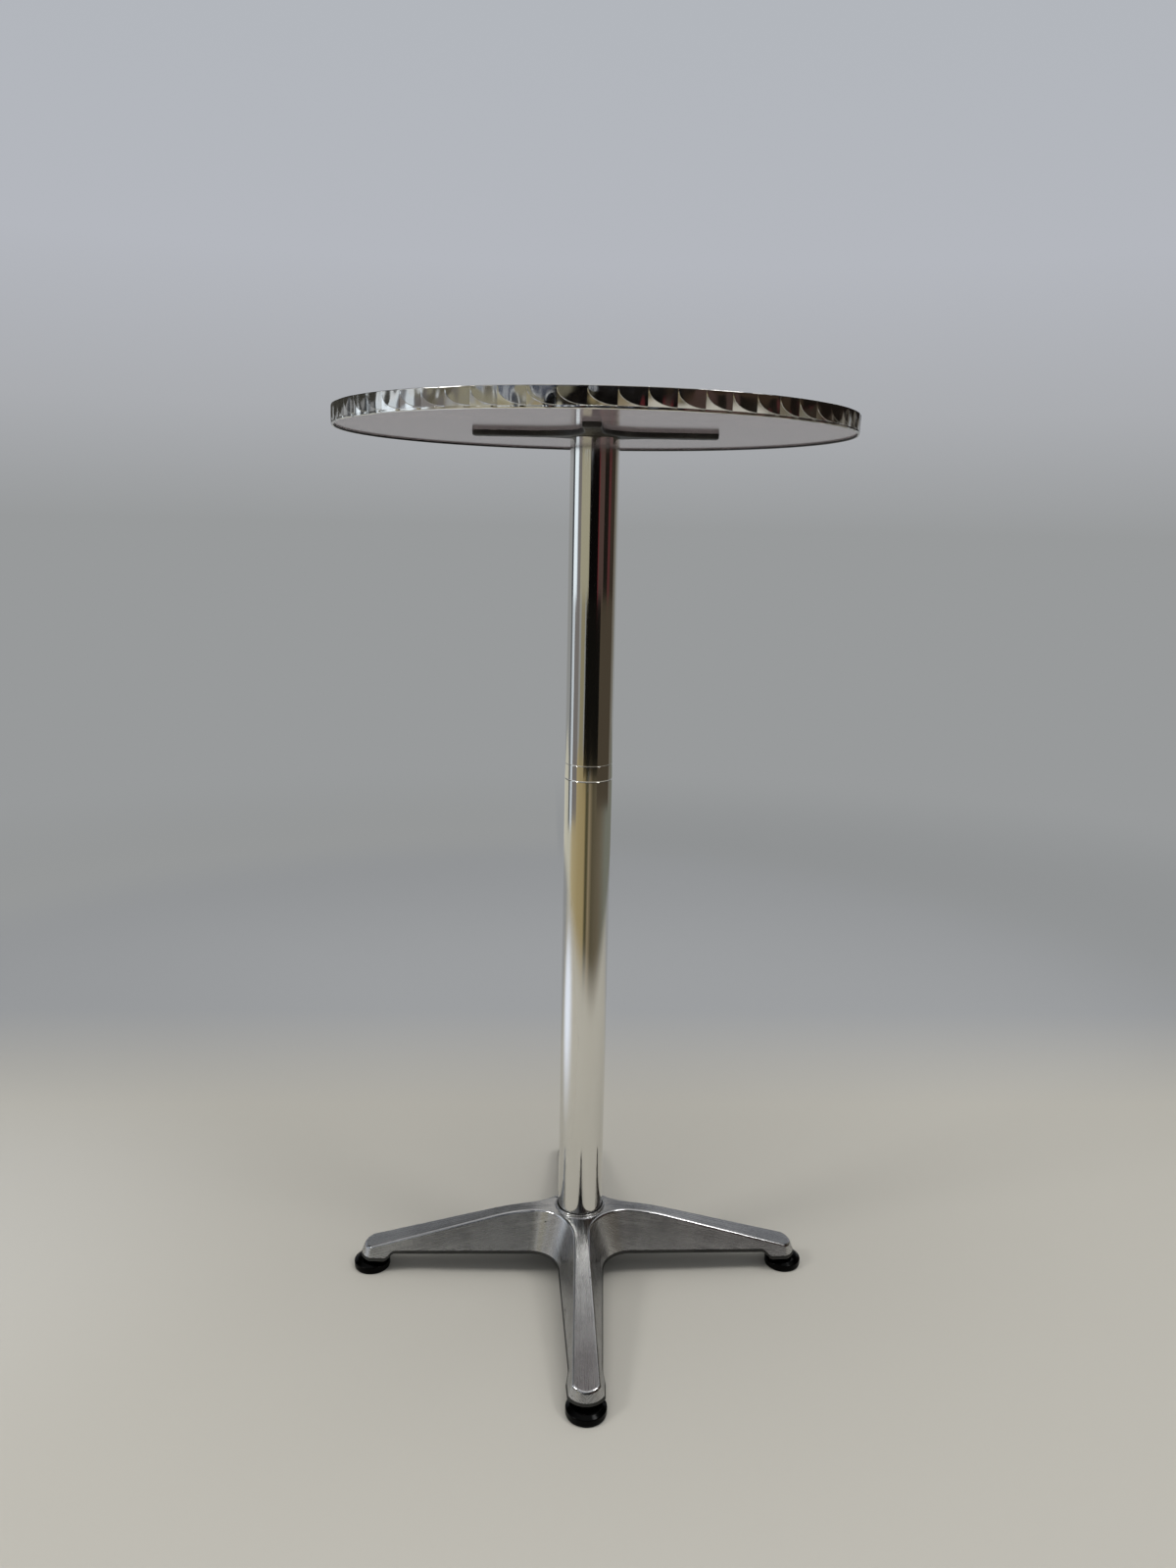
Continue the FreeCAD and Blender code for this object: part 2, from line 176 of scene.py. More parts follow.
def pale_floor():
    """Matt sheet in metres: greyer from 0.45 to 0.85 m behind the table's middle, and turning into
    the horizon's own tone from 1.4 to 3.4 m out all round.
    """
    material, add, shader = new_material("pale_floor_sheet", Roughness=0.6)
    place = add("TexCoord", out="Object")
    depth = add("SeparateXYZ", place, out="Y")
    back = add("MapRange", depth, From_Min=0.45, From_Max=0.85)
    tone = add("Mix", back, A=linear(FLOOR), B=linear(FLOOR_BEHIND), data_type="RGBA")
    feed(shader, Base_Color=tone)
    distance = add("VectorMath", place, operation="LENGTH")
    far = add("MapRange", distance, From_Min=1.4, From_Max=3.4, interpolation_type="SMOOTHSTEP")
    horizon = add("Emission", linear(HORIZON))
    blend = add("MixShader", far, shader.outputs[0], horizon)
    feed(material.node_tree.nodes["Material Output"], blend)
    return material


floor = flat_sheet("floor", level_corners(-9, 9, -9, 9, 0))
floor.data.materials.append(pale_floor())

# %% [markdown]
# ## The room in the reflections
#
# Polished metal has no look of its own: it shows the room. A room could be modelled, but glowing
# cards that only reflections see are simpler and cast no light. They stand in a circle round the
# table: tall windows to the left, more panes high up in front, and dark or brownish walls between
# and to the right. Further out the floor is darker, and on the left window light glances off it.

# %% Cards round the table
CARD_STEP = 6               # degrees, so that a wide card follows its circle
EYE = 1.22                  # m, where the room's lower and upper parts meet
LOW = 0.75                  # m, the top of what stands low in the room
HIGH = 2.4                  # m, the top of the upper part
WINDOWS = 2.4               # m, how far off the windows stand
WALLS = 2.5                 # m, the same for the walls


def reflected(name, points, colour, strength=1.0, quads=((0, 1, 2, 3),)):
    """A glowing sheet that only reflections see. Gives back its nodes and what adds to them."""
    sheet = flat_sheet(name, points, quads)
    material, add, shader = new_material(name)
    nodes = material.node_tree.nodes
    nodes.remove(shader)
    glow = add("Emission", linear(colour), Strength=strength)
    feed(nodes["Material Output"], glow)
    sheet.data.materials.append(material)
    sheet.visible_camera = False
    sheet.visible_diffuse = False
    sheet.visible_shadow = False
    return nodes, add


def card(name, start, end, bottom, top, colour, distance=WALLS, strength=1.0):
    """Upright card along a circle, between two bearings in degrees.

    A bearing of 0 points from the table to the camera's side, and bearings grow to the right.
    """
    angles = np.radians(np.linspace(start, end, 2 + int(end - start) // CARD_STEP))
    points = [(distance * math.sin(angle), -distance * math.cos(angle), z)
              for z in (bottom, top) for angle in angles]
    count = len(angles)
    quads = [(k, k + 1, count + k + 1, count + k) for k in range(count - 1)]
    reflected(name, points, colour, strength, quads)


BAR = "#f3f8fd"             # the bright edges between the high panes
panes = [(-49, -46, BAR), (-46, -40, "#6d7788"), (-40, -37.5, BAR), (-37.5, -28, "#4d566a"),
         (-28, -25, BAR), (-25, -14, "#3b4254"), (-14, -11.5, BAR), (-11.5, -5, "#2a2f3b")]
for row in [
        # name, two bearings, bottom, top and colour, and for some also distance and strength
        ("window_frame", -116, -103, LOW, EYE, "#4d5054", WINDOWS),
        ("window", -103, -81, LOW, EYE, "#eaf5ff", WINDOWS, 1.15),
        ("window_side", -81, -76, LOW, EYE, "#a3aab4", WINDOWS),
        ("low_window_frame", -116, -103, 0.0, LOW, "#6d7073", WINDOWS),
        ("low_window", -103, -88, 0.0, LOW, "#cfd8e2", WINDOWS),
        ("left_wall", -88, -62, 0.0, EYE, "#7b7776"),
        ("left_front_wall", -62, -20, LOW, EYE, "#a8a48f"),
        ("left_front_gap", -52, -33, 0.2, LOW, "#8f886f"),
        ("front_dark", -20, 21, LOW, EYE, "#0a0808"),
        ("low_front_dark", -28, 40, 0.16, LOW, "#11100e"),
        ("red_strip", 21, 24, LOW, EYE, "#6b2a30"),
        ("right_front_wall", 24, 48, LOW, EYE, "#54433f"),
        ("right_gap", 48, 70, LOW, EYE, "#1d1a17"),
        ("right_red_wall", 70, 84, LOW, EYE, "#573031"),
        ("right_wall", 84, 112, LOW, EYE, "#3a322b"),
        ("low_right_wall", 40, 112, 0.05, LOW, "#4c4439"),
        ("right_back_wall", 112, 132, 0.05, EYE, "#77736b"),
        ("high_left_back_wall", -172, -98, EYE, HIGH, "#42413b"),
        ("high_window", -98, -76, EYE, HIGH, "#f2f9ff", WINDOWS, 1.1),
        ("high_left_wall", -76, -49, EYE, HIGH, "#716c5c"),
        *(("high_pane", start, end, EYE, HIGH, colour, WINDOWS, 1.1)
          for start, end, colour in panes),
        ("high_front_wall", -5, 29, EYE, HIGH, "#191716"),
        ("high_right_wall", 29, 78, EYE, HIGH, "#40342a"),
        ("high_right_back_wall", 78, 148, EYE, HIGH, "#1d1815"),
        ("high_back_light", 174, 188, 2.3, 3.1, "#fffaf0", 2.8, 2.0)]:
    card(*row)


# %% The floor in the reflections
def show_only(nodes, add, share):
    """Show a glowing sheet where share is 1 and leave it clear where share is 0."""
    blend = add("MixShader", share, add("BsdfTransparent"), nodes["Emission"].outputs[0])
    feed(nodes["Material Output"], blend)


def far_floor():
    """Darker floor, whose tone changes with the bearing.

    Where it starts is 1.42 to 1.85 m less 0.5 cos(bearing) and 0.35 sin(bearing), the last only to
    the right: about 1 m away in front, 1.5 m on the left and 1.2 m on the right.
    """
    nodes, add = reflected("far_floor", level_corners(-3.2, 3.2, -3.2, 3.2, 0.002), FLOOR)
    place = add("TexCoord", out="Object")
    axes = add("SeparateXYZ", place).node.outputs
    ahead = add("Math", axes["Y"], -1.0, operation="MULTIPLY")
    bearing = add("Math", axes["X"], ahead, operation="ARCTAN2")
    share = add("MapRange", bearing, From_Min=-1.8, From_Max=1.8)
    tones = add("ValToRGB", share)
    set_stops(tones, [(0.01, "#c8c6b8"), (0.11, "#b3a683"), (0.27, "#a59670"), (0.41, "#a0906a"),
                      (0.45, "#534e39"), (0.485, "#534e39"), (0.525, "#91836a"),
                      (0.60, "#5b5443"), (0.79, "#6a6253"), (0.99, "#777970")])
    feed(nodes["Emission"], tones)
    distance = add("VectorMath", place, operation="LENGTH")
    cosine = add("Math", ahead, distance, operation="DIVIDE")
    past = add("Math", cosine, 0.5, distance, operation="MULTIPLY_ADD")
    sine = add("Math", axes["X"], distance, operation="DIVIDE")
    sine = add("Math", sine, 0.0, operation="MAXIMUM")
    past = add("Math", sine, 0.35, past, operation="MULTIPLY_ADD")
    past = add("MapRange", past, From_Min=1.42, From_Max=1.85, interpolation_type="SMOOTHSTEP")
    show_only(nodes, add, past)


def floor_glare():
    """Soft patch of window light round a point 0.95 m to the left."""
    nodes, add = reflected("floor_glare", level_corners(-1.7, -0.3, -0.7, 0.8, 0.003), "#e6eeff",
                           1.25)
    place = add("TexCoord", out="Object")
    apart = add("VectorMath", place, (-0.95, 0.05, 0), operation="DISTANCE")
    share = add("MapRange", apart, From_Min=0.60, From_Max=0.10, To_Max=0.85,
                interpolation_type="SMOOTHSTEP")
    show_only(nodes, add, share)


far_floor()
floor_glare()

# %% [markdown]
# ## Light
#
# Soft area lamps hang above, and the world fills the shadows. One picture of a sky could do both,
# but lamps can be moved and dimmed one by one. The camera and the metal see the world as a room
# with a pale wall and a dark ceiling. Other surfaces get a plain fill from above and in front, so
# that it stays dark under the arms.

# %% Lamps and world
def lamp(name, place, size, power, shines=True):
    """Square area lamp aimed at the middle of the table. shines says if metal shows it."""
    light = bpy.data.lights.new(name, "AREA")
    light.size = size
    light.energy = power
    holder = bpy.data.objects.new(name, light)
    aim = (Vector((0, 0, 0.5)) - Vector(place)).to_track_quat("-Z", "Y")
    holder.matrix_world = Matrix.Translation(place) @ aim.to_matrix().to_4x4()
    holder.visible_glossy = shines
    bpy.context.scene.collection.objects.link(holder)
    print(name, power, "W")


def room_world():
    """World colour from the direction's height z: the room's tones, or the fill's."""
    world = bpy.data.worlds.new("room")
    world.use_nodes = True
    add = partial(add_node, world.node_tree)
    towards = add("SeparateXYZ", add("TexCoord", out="Generated")).node.outputs
    room = add("ValToRGB", towards["Z"])
    set_stops(room, [(0.0, HORIZON), (0.09, "#aaacb0"), (0.20, "#b4b7be"), (0.38, "#b2b6bc"),
                     (0.47, "#808286"), (0.57, "#56585a"), (0.70, "#424242"), (1.0, "#ffffff")])
    overhead = add("MapRange", towards["Z"], From_Min=0.05, From_Max=0.55)
    fill = add("Mix", overhead, A=linear("#38393b"), B=linear("#cccfd2"), data_type="RGBA")
    behind = add("MapRange", towards["Y"], From_Max=0.5, To_Min=1.0, To_Max=0.2)
    fill = add("VectorMath", fill, Scale=behind, operation="SCALE")
    path = add("LightPath").node.outputs
    seen = add("Math", path["Is Camera Ray"], path["Is Glossy Ray"], operation="MAXIMUM")
    glow = add("Mix", seen, A=fill, B=room, data_type="RGBA")
    feed(world.node_tree.nodes["Background"], glow)
    return world


lamp("left_lamp", (-1.9, -0.8, 2.1), 0.5, 14)
lamp("right_lamp", (1.4, -0.8, 2.6), 0.6, 14)
lamp("back_lamp", (1.3, 1.4, 2.2), 0.7, 2)
lamp("ceiling", (0.0, -0.4, 3.4), 2.4, 52, shines=False)
bpy.context.scene.world = room_world()
bpy.context.scene.view_settings.view_transform = "Standard"

# %% [markdown]
# ## Surfaces from grids
#
# Every new piece is a grid of points: rows run along a profile and columns run round the piece.
# Screw and Bevel modifiers could make the round ones, but one grid makes them all, and it also
# carries the coordinates that the finish follows. Neighbouring points make quads. Where a row
# shrinks to one point, the doubles are merged, so the pole is closed. The faces are then turned
# outwards.

# %% Grid helpers
def grid_quads(rows, columns):
    """Quads between neighbouring rows, with the last column joined to the first."""
    row, column = np.meshgrid(np.arange(rows - 1), np.arange(columns), indexing="ij")
    after = (column + 1) % columns
    quads = np.stack([row * columns + column, row * columns + after,
                      (row + 1) * columns + after, (row + 1) * columns + column], axis=-1)
    return quads.reshape(-1, 4)


def build_piece(name, grids, uvs=None, finishes=()):
    """One object from a list of closed grids, each rows x columns x 3 in metres.

    uvs, if given, holds for each grid rows x (columns + 1) x 2, so that the seam has two values.
    Each (first, number) in finishes gives the quads from first on that material.
    """
    points, quads, corners = [], [], []
    start = 0
    for k, grid in enumerate(grids):
        rows, columns = grid.shape[:2]
        points.append(grid.reshape(-1, 3))
        quads.append(grid_quads(rows, columns) + start)
        if uvs is not None:
            row = np.repeat(np.arange(rows - 1), columns)
            column = np.tile(np.arange(columns), rows - 1)
            corners.append(np.stack([uvs[k][row, column], uvs[k][row, column + 1],
                                     uvs[k][row + 1, column + 1], uvs[k][row + 1, column]], axis=1))
        start += rows * columns
    points = np.concatenate(points).astype(np.float32)
    quads = np.concatenate(quads).astype(np.int32)
    mesh = bpy.data.meshes.new(name)
    mesh.vertices.add(len(points))
    mesh.vertices.foreach_set("co", points.ravel())
    mesh.loops.add(quads.size)
    mesh.loops.foreach_set("vertex_index", quads.ravel())
    mesh.polygons.add(len(quads))
    mesh.polygons.foreach_set("loop_start", np.arange(0, quads.size, 4, dtype=np.int32))
    chosen = np.zeros(len(quads), np.int32)
    for first, number in finishes:
        chosen[first:] = number
    mesh.polygons.foreach_set("material_index", chosen)
    mesh.update(calc_edges=True)
    if uvs is not None:
        layer = mesh.uv_layers.new(name="pattern")
        layer.data.foreach_set("uv", np.concatenate(corners).astype(np.float32).ravel())
    work = bmesh.new()
    work.from_mesh(mesh)
    bmesh.ops.remove_doubles(work, verts=work.verts, dist=1e-6)
    bmesh.ops.dissolve_degenerate(work, edges=work.edges, dist=1e-7)
    bmesh.ops.recalc_face_normals(work, faces=work.faces)
    work.to_mesh(mesh)
    work.free()
    mesh.polygons.foreach_set("use_smooth", np.ones(len(mesh.polygons), dtype=bool))
    mesh.update()
    piece = bpy.data.objects.new(name, mesh)
    bpy.context.scene.collection.objects.link(piece)
    print(name, len(mesh.polygons), "faces")
    return piece


# %% Profiles and places
def dress(piece, body, slot, node, *materials):
    """The piece rides on a body, takes materials, and stands for the CAD node. slot is not used."""
    for material in materials:
        piece.data.materials.append(material)
    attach(piece, body)
    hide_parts(node)


def rounded(corners, steps=6):
    """Profile through (r, z, radius) corners, each turned into an arc tangent to both sides.

    An arc is a quadratic curve from b + (a-b)u to b + (c-b)u. A point is added a little outside
    each arc, so that the flats beside it keep true normals. Radius 0 leaves a sharp corner.
    """
    pts = np.array([corner[:2] for corner in corners], float)
    out = [pts[0]]
    for k in range(1, len(pts) - 1):
        before, here, after = pts[k - 1:k + 2]
        to_before = (before - here) / np.linalg.norm(before - here)
        to_after = (after - here) / np.linalg.norm(after - here)
        radius = corners[k][2]
        reach = radius * math.tan(math.acos(np.clip(-(to_before @ to_after), -1, 1)) / 2)
        pad = 0.12 * radius + 0.05
        out.append(here + to_before * (reach + pad))
        t = np.linspace(0, 1, steps if radius > 0 else 2)[:, None]
        start, end = here + to_before * reach, here + to_after * reach
        out.extend((1 - t) ** 2 * start + 2 * t * (1 - t) * here + t ** 2 * end)
        out.append(here + to_after * (reach + pad))
    out.append(pts[-1])
    return np.array(out)


def turn_profile(profile, columns):
    """Surface of revolution: the profile's (r, z) in mm at equal angles, in metres."""
    angle = np.arange(columns) * 2 * math.pi / columns
    r, z = profile[:, 0, None], profile[:, 1, None]
    ones = np.ones_like(angle)
    return np.stack([r * np.cos(angle), r * np.sin(angle), z * ones], axis=-1) * MM


SMALL_ROUND = 96            # columns of the small round pieces


def turned(points, degrees):
    """Points turned about the upright axis, to the left as seen from above."""
    c, s = math.cos(math.radians(degrees)), math.sin(math.radians(degrees))
    return points @ np.array([[c, s, 0], [-s, c, 0], [0, 0, 1]])


def placed(node, axis=2):
    """Lowest and highest place of a node along one axis, in mm."""
    low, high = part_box(node)
    return low[axis] / MM, high[axis] / MM

# %% [markdown]
# ## The steel top
#
# The top is one thin stainless steel pressing: a flat face, a small round corner, an edge band and
# a hem that is rolled in under it. The metal is engine-turned, which means that a spinning pad has
# ground a round mark every 28 mm. A mark's fine rings catch light along and across them in two
# bright fans. Modelled rings would need millions of faces, so they are bump, worked out from the
# distance to the nearest mark's centre. The pressing itself is a grid.
#
# Each mark on the face was ground on its own. On the band the marks overlap, each over the one to
# its left, and the metal between them falls away and flashes like a row of small sails.

# %% Where a point lies in its mark
MARKS = 67                  # marks round the band
MARK_PITCH = 28.13          # mm between marks
MARK_RADIUS = 14.0
MARK_EDGE = MARK_RADIUS / MARK_PITCH    # the same with the pitch as 1, as in the nodes below
RING_WIDTH = 0.9            # coarser than the real grit of about 0.1 mm, so that it shows
DOME = 1.5                  # how much a mark falls from its centre to its edge
SAIL_FALL = 9.0             # how steeply the metal falls away outside a mark
SAIL_LEAN = 8.0             # how steeply it leans down there on the band
WEAK, STRONG = 0.15, 1.15   # the sails' strength between patches and in them


def place_in_mark(add, pattern, on_band):
    """(u, v) from the nearest mark's centre, with the pitch as 1.

    A band's mark lies over the one to its left, so its left half shows, drawn to twice the width:
    u becomes u / 2 - 1 / 4 there.
    """
    cell = add("Mapping", pattern, Scale=(1000 / MARK_PITCH,) * 3)
    cell = add("VectorMath", cell, (0.5, 0.5, 0), operation="ADD")
    cell = add("VectorMath", cell, operation="FRACTION")
    offset = add("VectorMath", cell, (0.5, 0.5, 0), operation="SUBTRACT")
    shift = add("VectorMath", offset, (-0.5, 0, 0), (-0.25, 0, 0), operation="MULTIPLY_ADD")
    shift = add("VectorMath", shift, Scale=on_band, operation="SCALE")
    return add("VectorMath", offset, shift, operation="ADD")


def grinding_direction(add, normal, u, v):
    """The way the grit went round a mark: -v T + u B, with T and B the surface's directions."""
    first = add("Tangent", direction_type="UV_MAP", uv_map="pattern")
    second = add("VectorMath", normal, first, operation="CROSS_PRODUCT")
    first = add("VectorMath", first, Scale=v, operation="SCALE")
    second = add("VectorMath", second, Scale=u, operation="SCALE")
    return add("VectorMath", second, first, operation="SUBTRACT")


# %% How the marks rise and fall
def sail_strength(add, on_band):
    """How bright the tips between marks are: patchy over 90 mm, and the same without patches.

    On the band they are strong from the middle to the right, and weak to the left and at the far
    right. The face lies level, so there the place across counts as the middle for every mark.
    """
    place = add("TexCoord", out="Object")
    patches = add("TexNoise", place, Scale=11.0, Detail=1.0)
    patches = add("MapRange", patches, From_Min=0.40, From_Max=0.60, To_Min=WEAK, To_Max=STRONG)
    side = add("SeparateXYZ", place, out="X")
    side = add("Math", side, on_band, operation="MULTIPLY")
    left = add("MapRange", side, From_Min=-0.03, From_Max=0.07, To_Min=0.25)
    right = add("MapRange", side, From_Min=0.225, From_Max=0.185, To_Min=0.06)
    even = add("Math", left, right, operation="MULTIPLY")
    return add("Math", patches, even, operation="MULTIPLY"), even


def mark_height(add, pattern, away, down, inside, on_band):
    """Height for the large bump: domed marks with sails between them, over a soft crumple."""
    patchy, even = sail_strength(add, on_band)
    dome = add("Math", away, MARK_EDGE, operation="MINIMUM")
    dome = add("Math", dome, 2.0, operation="POWER")
    height = add("Math", dome, -DOME, operation="MULTIPLY")
    fall = add("Math", away, MARK_EDGE, operation="SUBTRACT")
    fall = add("Math", fall, 0.0, operation="MAXIMUM")
    fall = add("Math", fall, patchy, operation="MULTIPLY")
    height = add("Math", fall, -SAIL_FALL, height, operation="MULTIPLY_ADD")
    lean = down
    for share in (add("Math", 1.0, inside, operation="SUBTRACT"), on_band, even):
        lean = add("Math", lean, share, operation="MULTIPLY")
    height = add("Math", lean, SAIL_LEAN, height, operation="MULTIPLY_ADD")
    # Dents about 17 mm wide and 25 mm high, deeper where the sails are weak.
    dents = add("Mapping", pattern, Scale=(60.0, 40.0, 1.0))
    dents = add("TexNoise", dents, Scale=1.0, Detail=0.0)
    depth = add("MapRange", patchy, From_Min=WEAK, From_Max=STRONG, To_Min=2.2, To_Max=0.9)
    height = add("Math", dents, depth, height, operation="MULTIPLY_ADD")
    # The face is held flat by the board, so its marks are much shallower than the band's.
    shallow = add("MapRange", on_band, To_Min=0.30)
    return add("Math", height, shallow, operation="MULTIPLY")


# %% Engine-turned stainless steel
def engine_turned_steel():
    """Mirror-like steel whose round marks are finely ringed and a little domed.

    A mark was ground round and round, so the shine spreads outwards from its centre.
    """
    material, add, shader = new_material("engine_turned_stainless_steel", Metallic=1.0,
                                         Anisotropic=0.9, Anisotropic_Rotation=0.25)
    pattern = add("UVMap", uv_map="pattern")
    normal = add("NewGeometry", out="Normal")
    # On the face the normal's z is 1 and on the band it is 0.
    on_band = add("Math", 1.0, add("SeparateXYZ", normal, out="Z"), operation="SUBTRACT")
    offset = place_in_mark(add, pattern, on_band)
    away = add("VectorMath", offset, operation="LENGTH")
    axes = add("SeparateXYZ", offset).node.outputs
    inside = add("MapRange", away, From_Min=MARK_EDGE, From_Max=MARK_EDGE - 0.015)
    height = mark_height(add, pattern, away, axes["Y"], inside, on_band)
    rings = add("Math", away, 2 * math.pi * MARK_PITCH / RING_WIDTH, operation="MULTIPLY")
    rings = add("Math", rings, operation="SINE")
    rings = add("Math", rings, inside, operation="MULTIPLY")
    # Wiping marks, about 6 mm long round the band and 2 mm high.
    smear = add("Mapping", pattern, Scale=(160.0, 500.0, 1.0))
    smear = add("TexNoise", smear, Scale=1.0, Detail=2.0)
    polish = add("MapRange", inside, To_Min=0.13, To_Max=0.10)
    polish = add("Math", smear, 0.04, polish, operation="MULTIPLY_ADD")
    colour = add("Mix", inside, A=linear("#ecebe8"), B=linear("#c2c0bc"), data_type="RGBA")
    dish = add("Bump", Height=height, Distance=0.0016)
    fine = add("Bump", Height=rings, Distance=0.000004, Normal=dish)
    scratch = add("Bump", Height=smear, Distance=0.000003, Normal=fine)
    feed(shader, Base_Color=colour, Roughness=polish, Normal=scratch,
         Tangent=grinding_direction(add, normal, axes["X"], axes["Y"]))
    return material


steel = engine_turned_steel()
# Black painted shade for narrow crevices: the hem's inner face and the base's groove round the
# tube.
crevice_shade, _, _ = new_material("black_painted_shade", Base_Color=linear("#0d0b0a"), Roughness=0.5)

# %% The pressed steel top's shape
TOP_COLUMNS = MARKS * 12
HEM_ROWS = 11               # profile rows from the inner corner of the hem to its hidden end
CORNER_ROUND = 0.9          # mm, between the face and the band
HEM_ROLL = 1.35             # mm, the radius of the roll at the band's lower edge
MARK_DROP = 2.6             # mm from the corner down to the centres of the band's marks
MARK_END = 18.4             # mm below the face; the plain polished lip starts here
MARK_STRETCH = 0.92         # drawing the edge down has made the band's marks oval
WAVES = [(19, 0.20, 0.8, 14), (31, 0.16, 2.0, -9), (MARKS, 0.05, 0.4, 8), (101, 0.04, 1.1, 30)]


def pan_profile(radius, low, high):
    """(r, z) from the middle of the face over the corner, down the band and into the hem."""
    hem = placed("backing_sheet")[0]
    upper = rounded([(0, high, 0), (150, high, 0), (radius, high, CORNER_ROUND),
                     (radius, high - 4, 0)])
    band = [(radius, high - depth) for depth in (6, 9, 12, 15, 18, MARK_END - 0.05, MARK_END)]
    lower = rounded([(radius, high - MARK_END, 0), (radius, low, HEM_ROLL),
                     (radius - 2 * HEM_ROLL, low, HEM_ROLL * 0.6),
                     (radius - 2 * HEM_ROLL - 0.5, hem, 0), (radius - 0.9, hem + 0.05, 0)], steps=8)
    return np.concatenate([upper, band, lower[1:]])


def pan_pattern(profile, depth, angle):
    """The pattern's coordinates: (x, y) on the face, and on the band (arc length, depth).

    Depth runs from the centres of the band's marks. The lip below the marks goes on almost level in
    the pattern, so that no second row of marks starts on it.
    """
    radius = profile[:, 0].max()
    around = angle * MARKS * MARK_PITCH / (2 * math.pi) * MM * np.ones_like(depth)
    walked = np.concatenate([[0], np.cumsum(np.hypot(*np.diff(profile, axis=0).T))])
    past = walked - walked[np.argmax(depth[:, 0] >= MARK_END)]
    mark = np.minimum(depth[:, 0], MARK_END) + np.clip(past, 0, None) * 0.03
    down = ((MARK_DROP - mark) * MARK_STRETCH * MM)[:, None] * np.ones_like(around)
    r = profile[:, 0, None]
    flat = np.stack([r * np.cos(angle), r * np.sin(angle)], -1) * MM
    on_face = (r < radius - CORNER_ROUND) & (depth < 2)
    return np.where(on_face[:, :, None], flat, np.stack([around, down], -1))


# %% The pressed steel top, built
def steel_top():
    """Lathe grid of the pressing, whose band waves in and out by a few tenths of a mm.

    The wave is the sum of size (sin(count angle + start + depth / drift) - 1) over WAVES, so that
    it only goes inwards. It starts on the corner, 3.2 to 1.8 mm in from the band. The hem's inner
    face has the last rows, which are painted black as the shade in its narrow crevice.
    """
    low, high = placed("tabletop_skin")
    radius = placed("tabletop_skin", axis=0)[1]
    profile = pan_profile(radius, low, high)
    grid = turn_profile(profile, TOP_COLUMNS)
    angle = np.arange(TOP_COLUMNS + 1) * 2 * math.pi / TOP_COLUMNS
    depth = (high - profile[:, 1])[:, None]
    wave = sum(size * (np.sin(count * angle + start + depth / drift) - 1)
               for count, size, start, drift in WAVES)
    on_band = np.clip((profile[:, 0] - radius + 3.2) / 1.4, 0, 1)[:, None]
    inward = (wave * on_band)[:, :-1] * MM
    grid[..., 0] += inward * np.cos(angle[:-1])
    grid[..., 1] += inward * np.sin(angle[:-1])
    # The hem's inner face takes the black painted shade of its crevice.
    inner_face = (len(profile) - HEM_ROWS) * TOP_COLUMNS
    piece = build_piece("steel_top", [grid], [pan_pattern(profile, depth, angle)],
                        [(inner_face, 1)])
    dress(piece, "table", "stainless_steel", "tabletop_skin", steel, crevice_shade)


steel_top()

# %% [markdown]
# ## The white underside
#
# The board is closed below with a white melamine sheet, hard and slightly glossy, with a very
# shallow orange-peel. A new sheet could be cut for it, but it is flat and has no edge that shows,
# so the CAD node stays and only gets the finish.

# %% White laminate
def white_laminate():
    """Orange-peel 3 mm wide, clouds of dust 70 mm wide, and a speck of dirt every 45 mm or so."""
    material, add, shader = new_material("white_melamine_laminate", Roughness=0.09,
                                         Specular_IOR_Level=0.28)
    place = add("TexCoord", out="Object")
    peel = add("TexNoise", place, Scale=350.0, Detail=2.0)
    dust = add("TexNoise", place, Scale=14.0, Detail=5.0)
    dots = add("TexVoronoi", place, Scale=22.0)
    clean = add("MapRange", dots, From_Min=0.035, From_Max=0.05)
    white = add("Mix", dust, A=linear("#b8abb0"), B=linear("#c0b3b8"), data_type="RGBA")
    colour = add("Mix", clean, A=linear("#6b6560"), B=white, data_type="RGBA")
    bump = add("Bump", Height=peel, Distance=0.00003)
    feed(shader, Base_Color=colour, Normal=bump)
    return material


def finish_node(name, material):
    """A CAD node keeps its mesh and gets a finish."""
    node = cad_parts[name]
    node.data.materials.clear()
    node.data.materials.append(material)
    print(name, "finished in", material.name)


finish_node("backing_sheet", white_laminate())

# %% [markdown]
# ## The column
#
# Two lengths of aluminium tube, drawn bright and anodised, with a turned collar between them.
# Drawing leaves faint lines along the tube, so the noise is stretched along Z. A cylinder with
# Bevel would do for the tubes, but a profile also gives each edge a round of its own: the ends
# have a small one, and each seam shows as a thin bright line because of it.

# %% Bright aluminium tube
def bright_aluminium():
    """Polished aluminium with lines about 1 mm apart along it and clouds of 30 by 170 mm.

    It was buffed round and round, so it blurs what it shows along its length more than across.
    """
    material, add, shader = new_material("bright_anodised_aluminium", Metallic=1.0,
                                         Anisotropic=0.7, Anisotropic_Rotation=0.25)
    place = add("TexCoord", out="Object")
    drawn = add("Mapping", place, Scale=(900.0, 900.0, 3.0))
    drawn = add("TexNoise", drawn, Scale=1.0, Detail=4.0)
    cloud = add("Mapping", place, Scale=(30.0, 30.0, 6.0))
    cloud = add("TexNoise", cloud, Scale=1.0, Detail=3.0)
    polish = add("MapRange", cloud, To_Min=0.045, To_Max=0.085)
    colour = add("Mix", cloud, A=linear("#dcdad4"), B=linear("#e9e8e4"), data_type="RGBA")
    bump = add("Bump", Height=drawn, Distance=0.00002)
    around = add("Tangent", direction_type="RADIAL", axis="Z")
    feed(shader, Base_Color=colour, Roughness=polish, Normal=bump, Tangent=around)
    return material


tube_metal = bright_aluminium()

# %% The tubes
TUBE_COLUMNS = 192
TUBE_WALL = 1.5             # mm


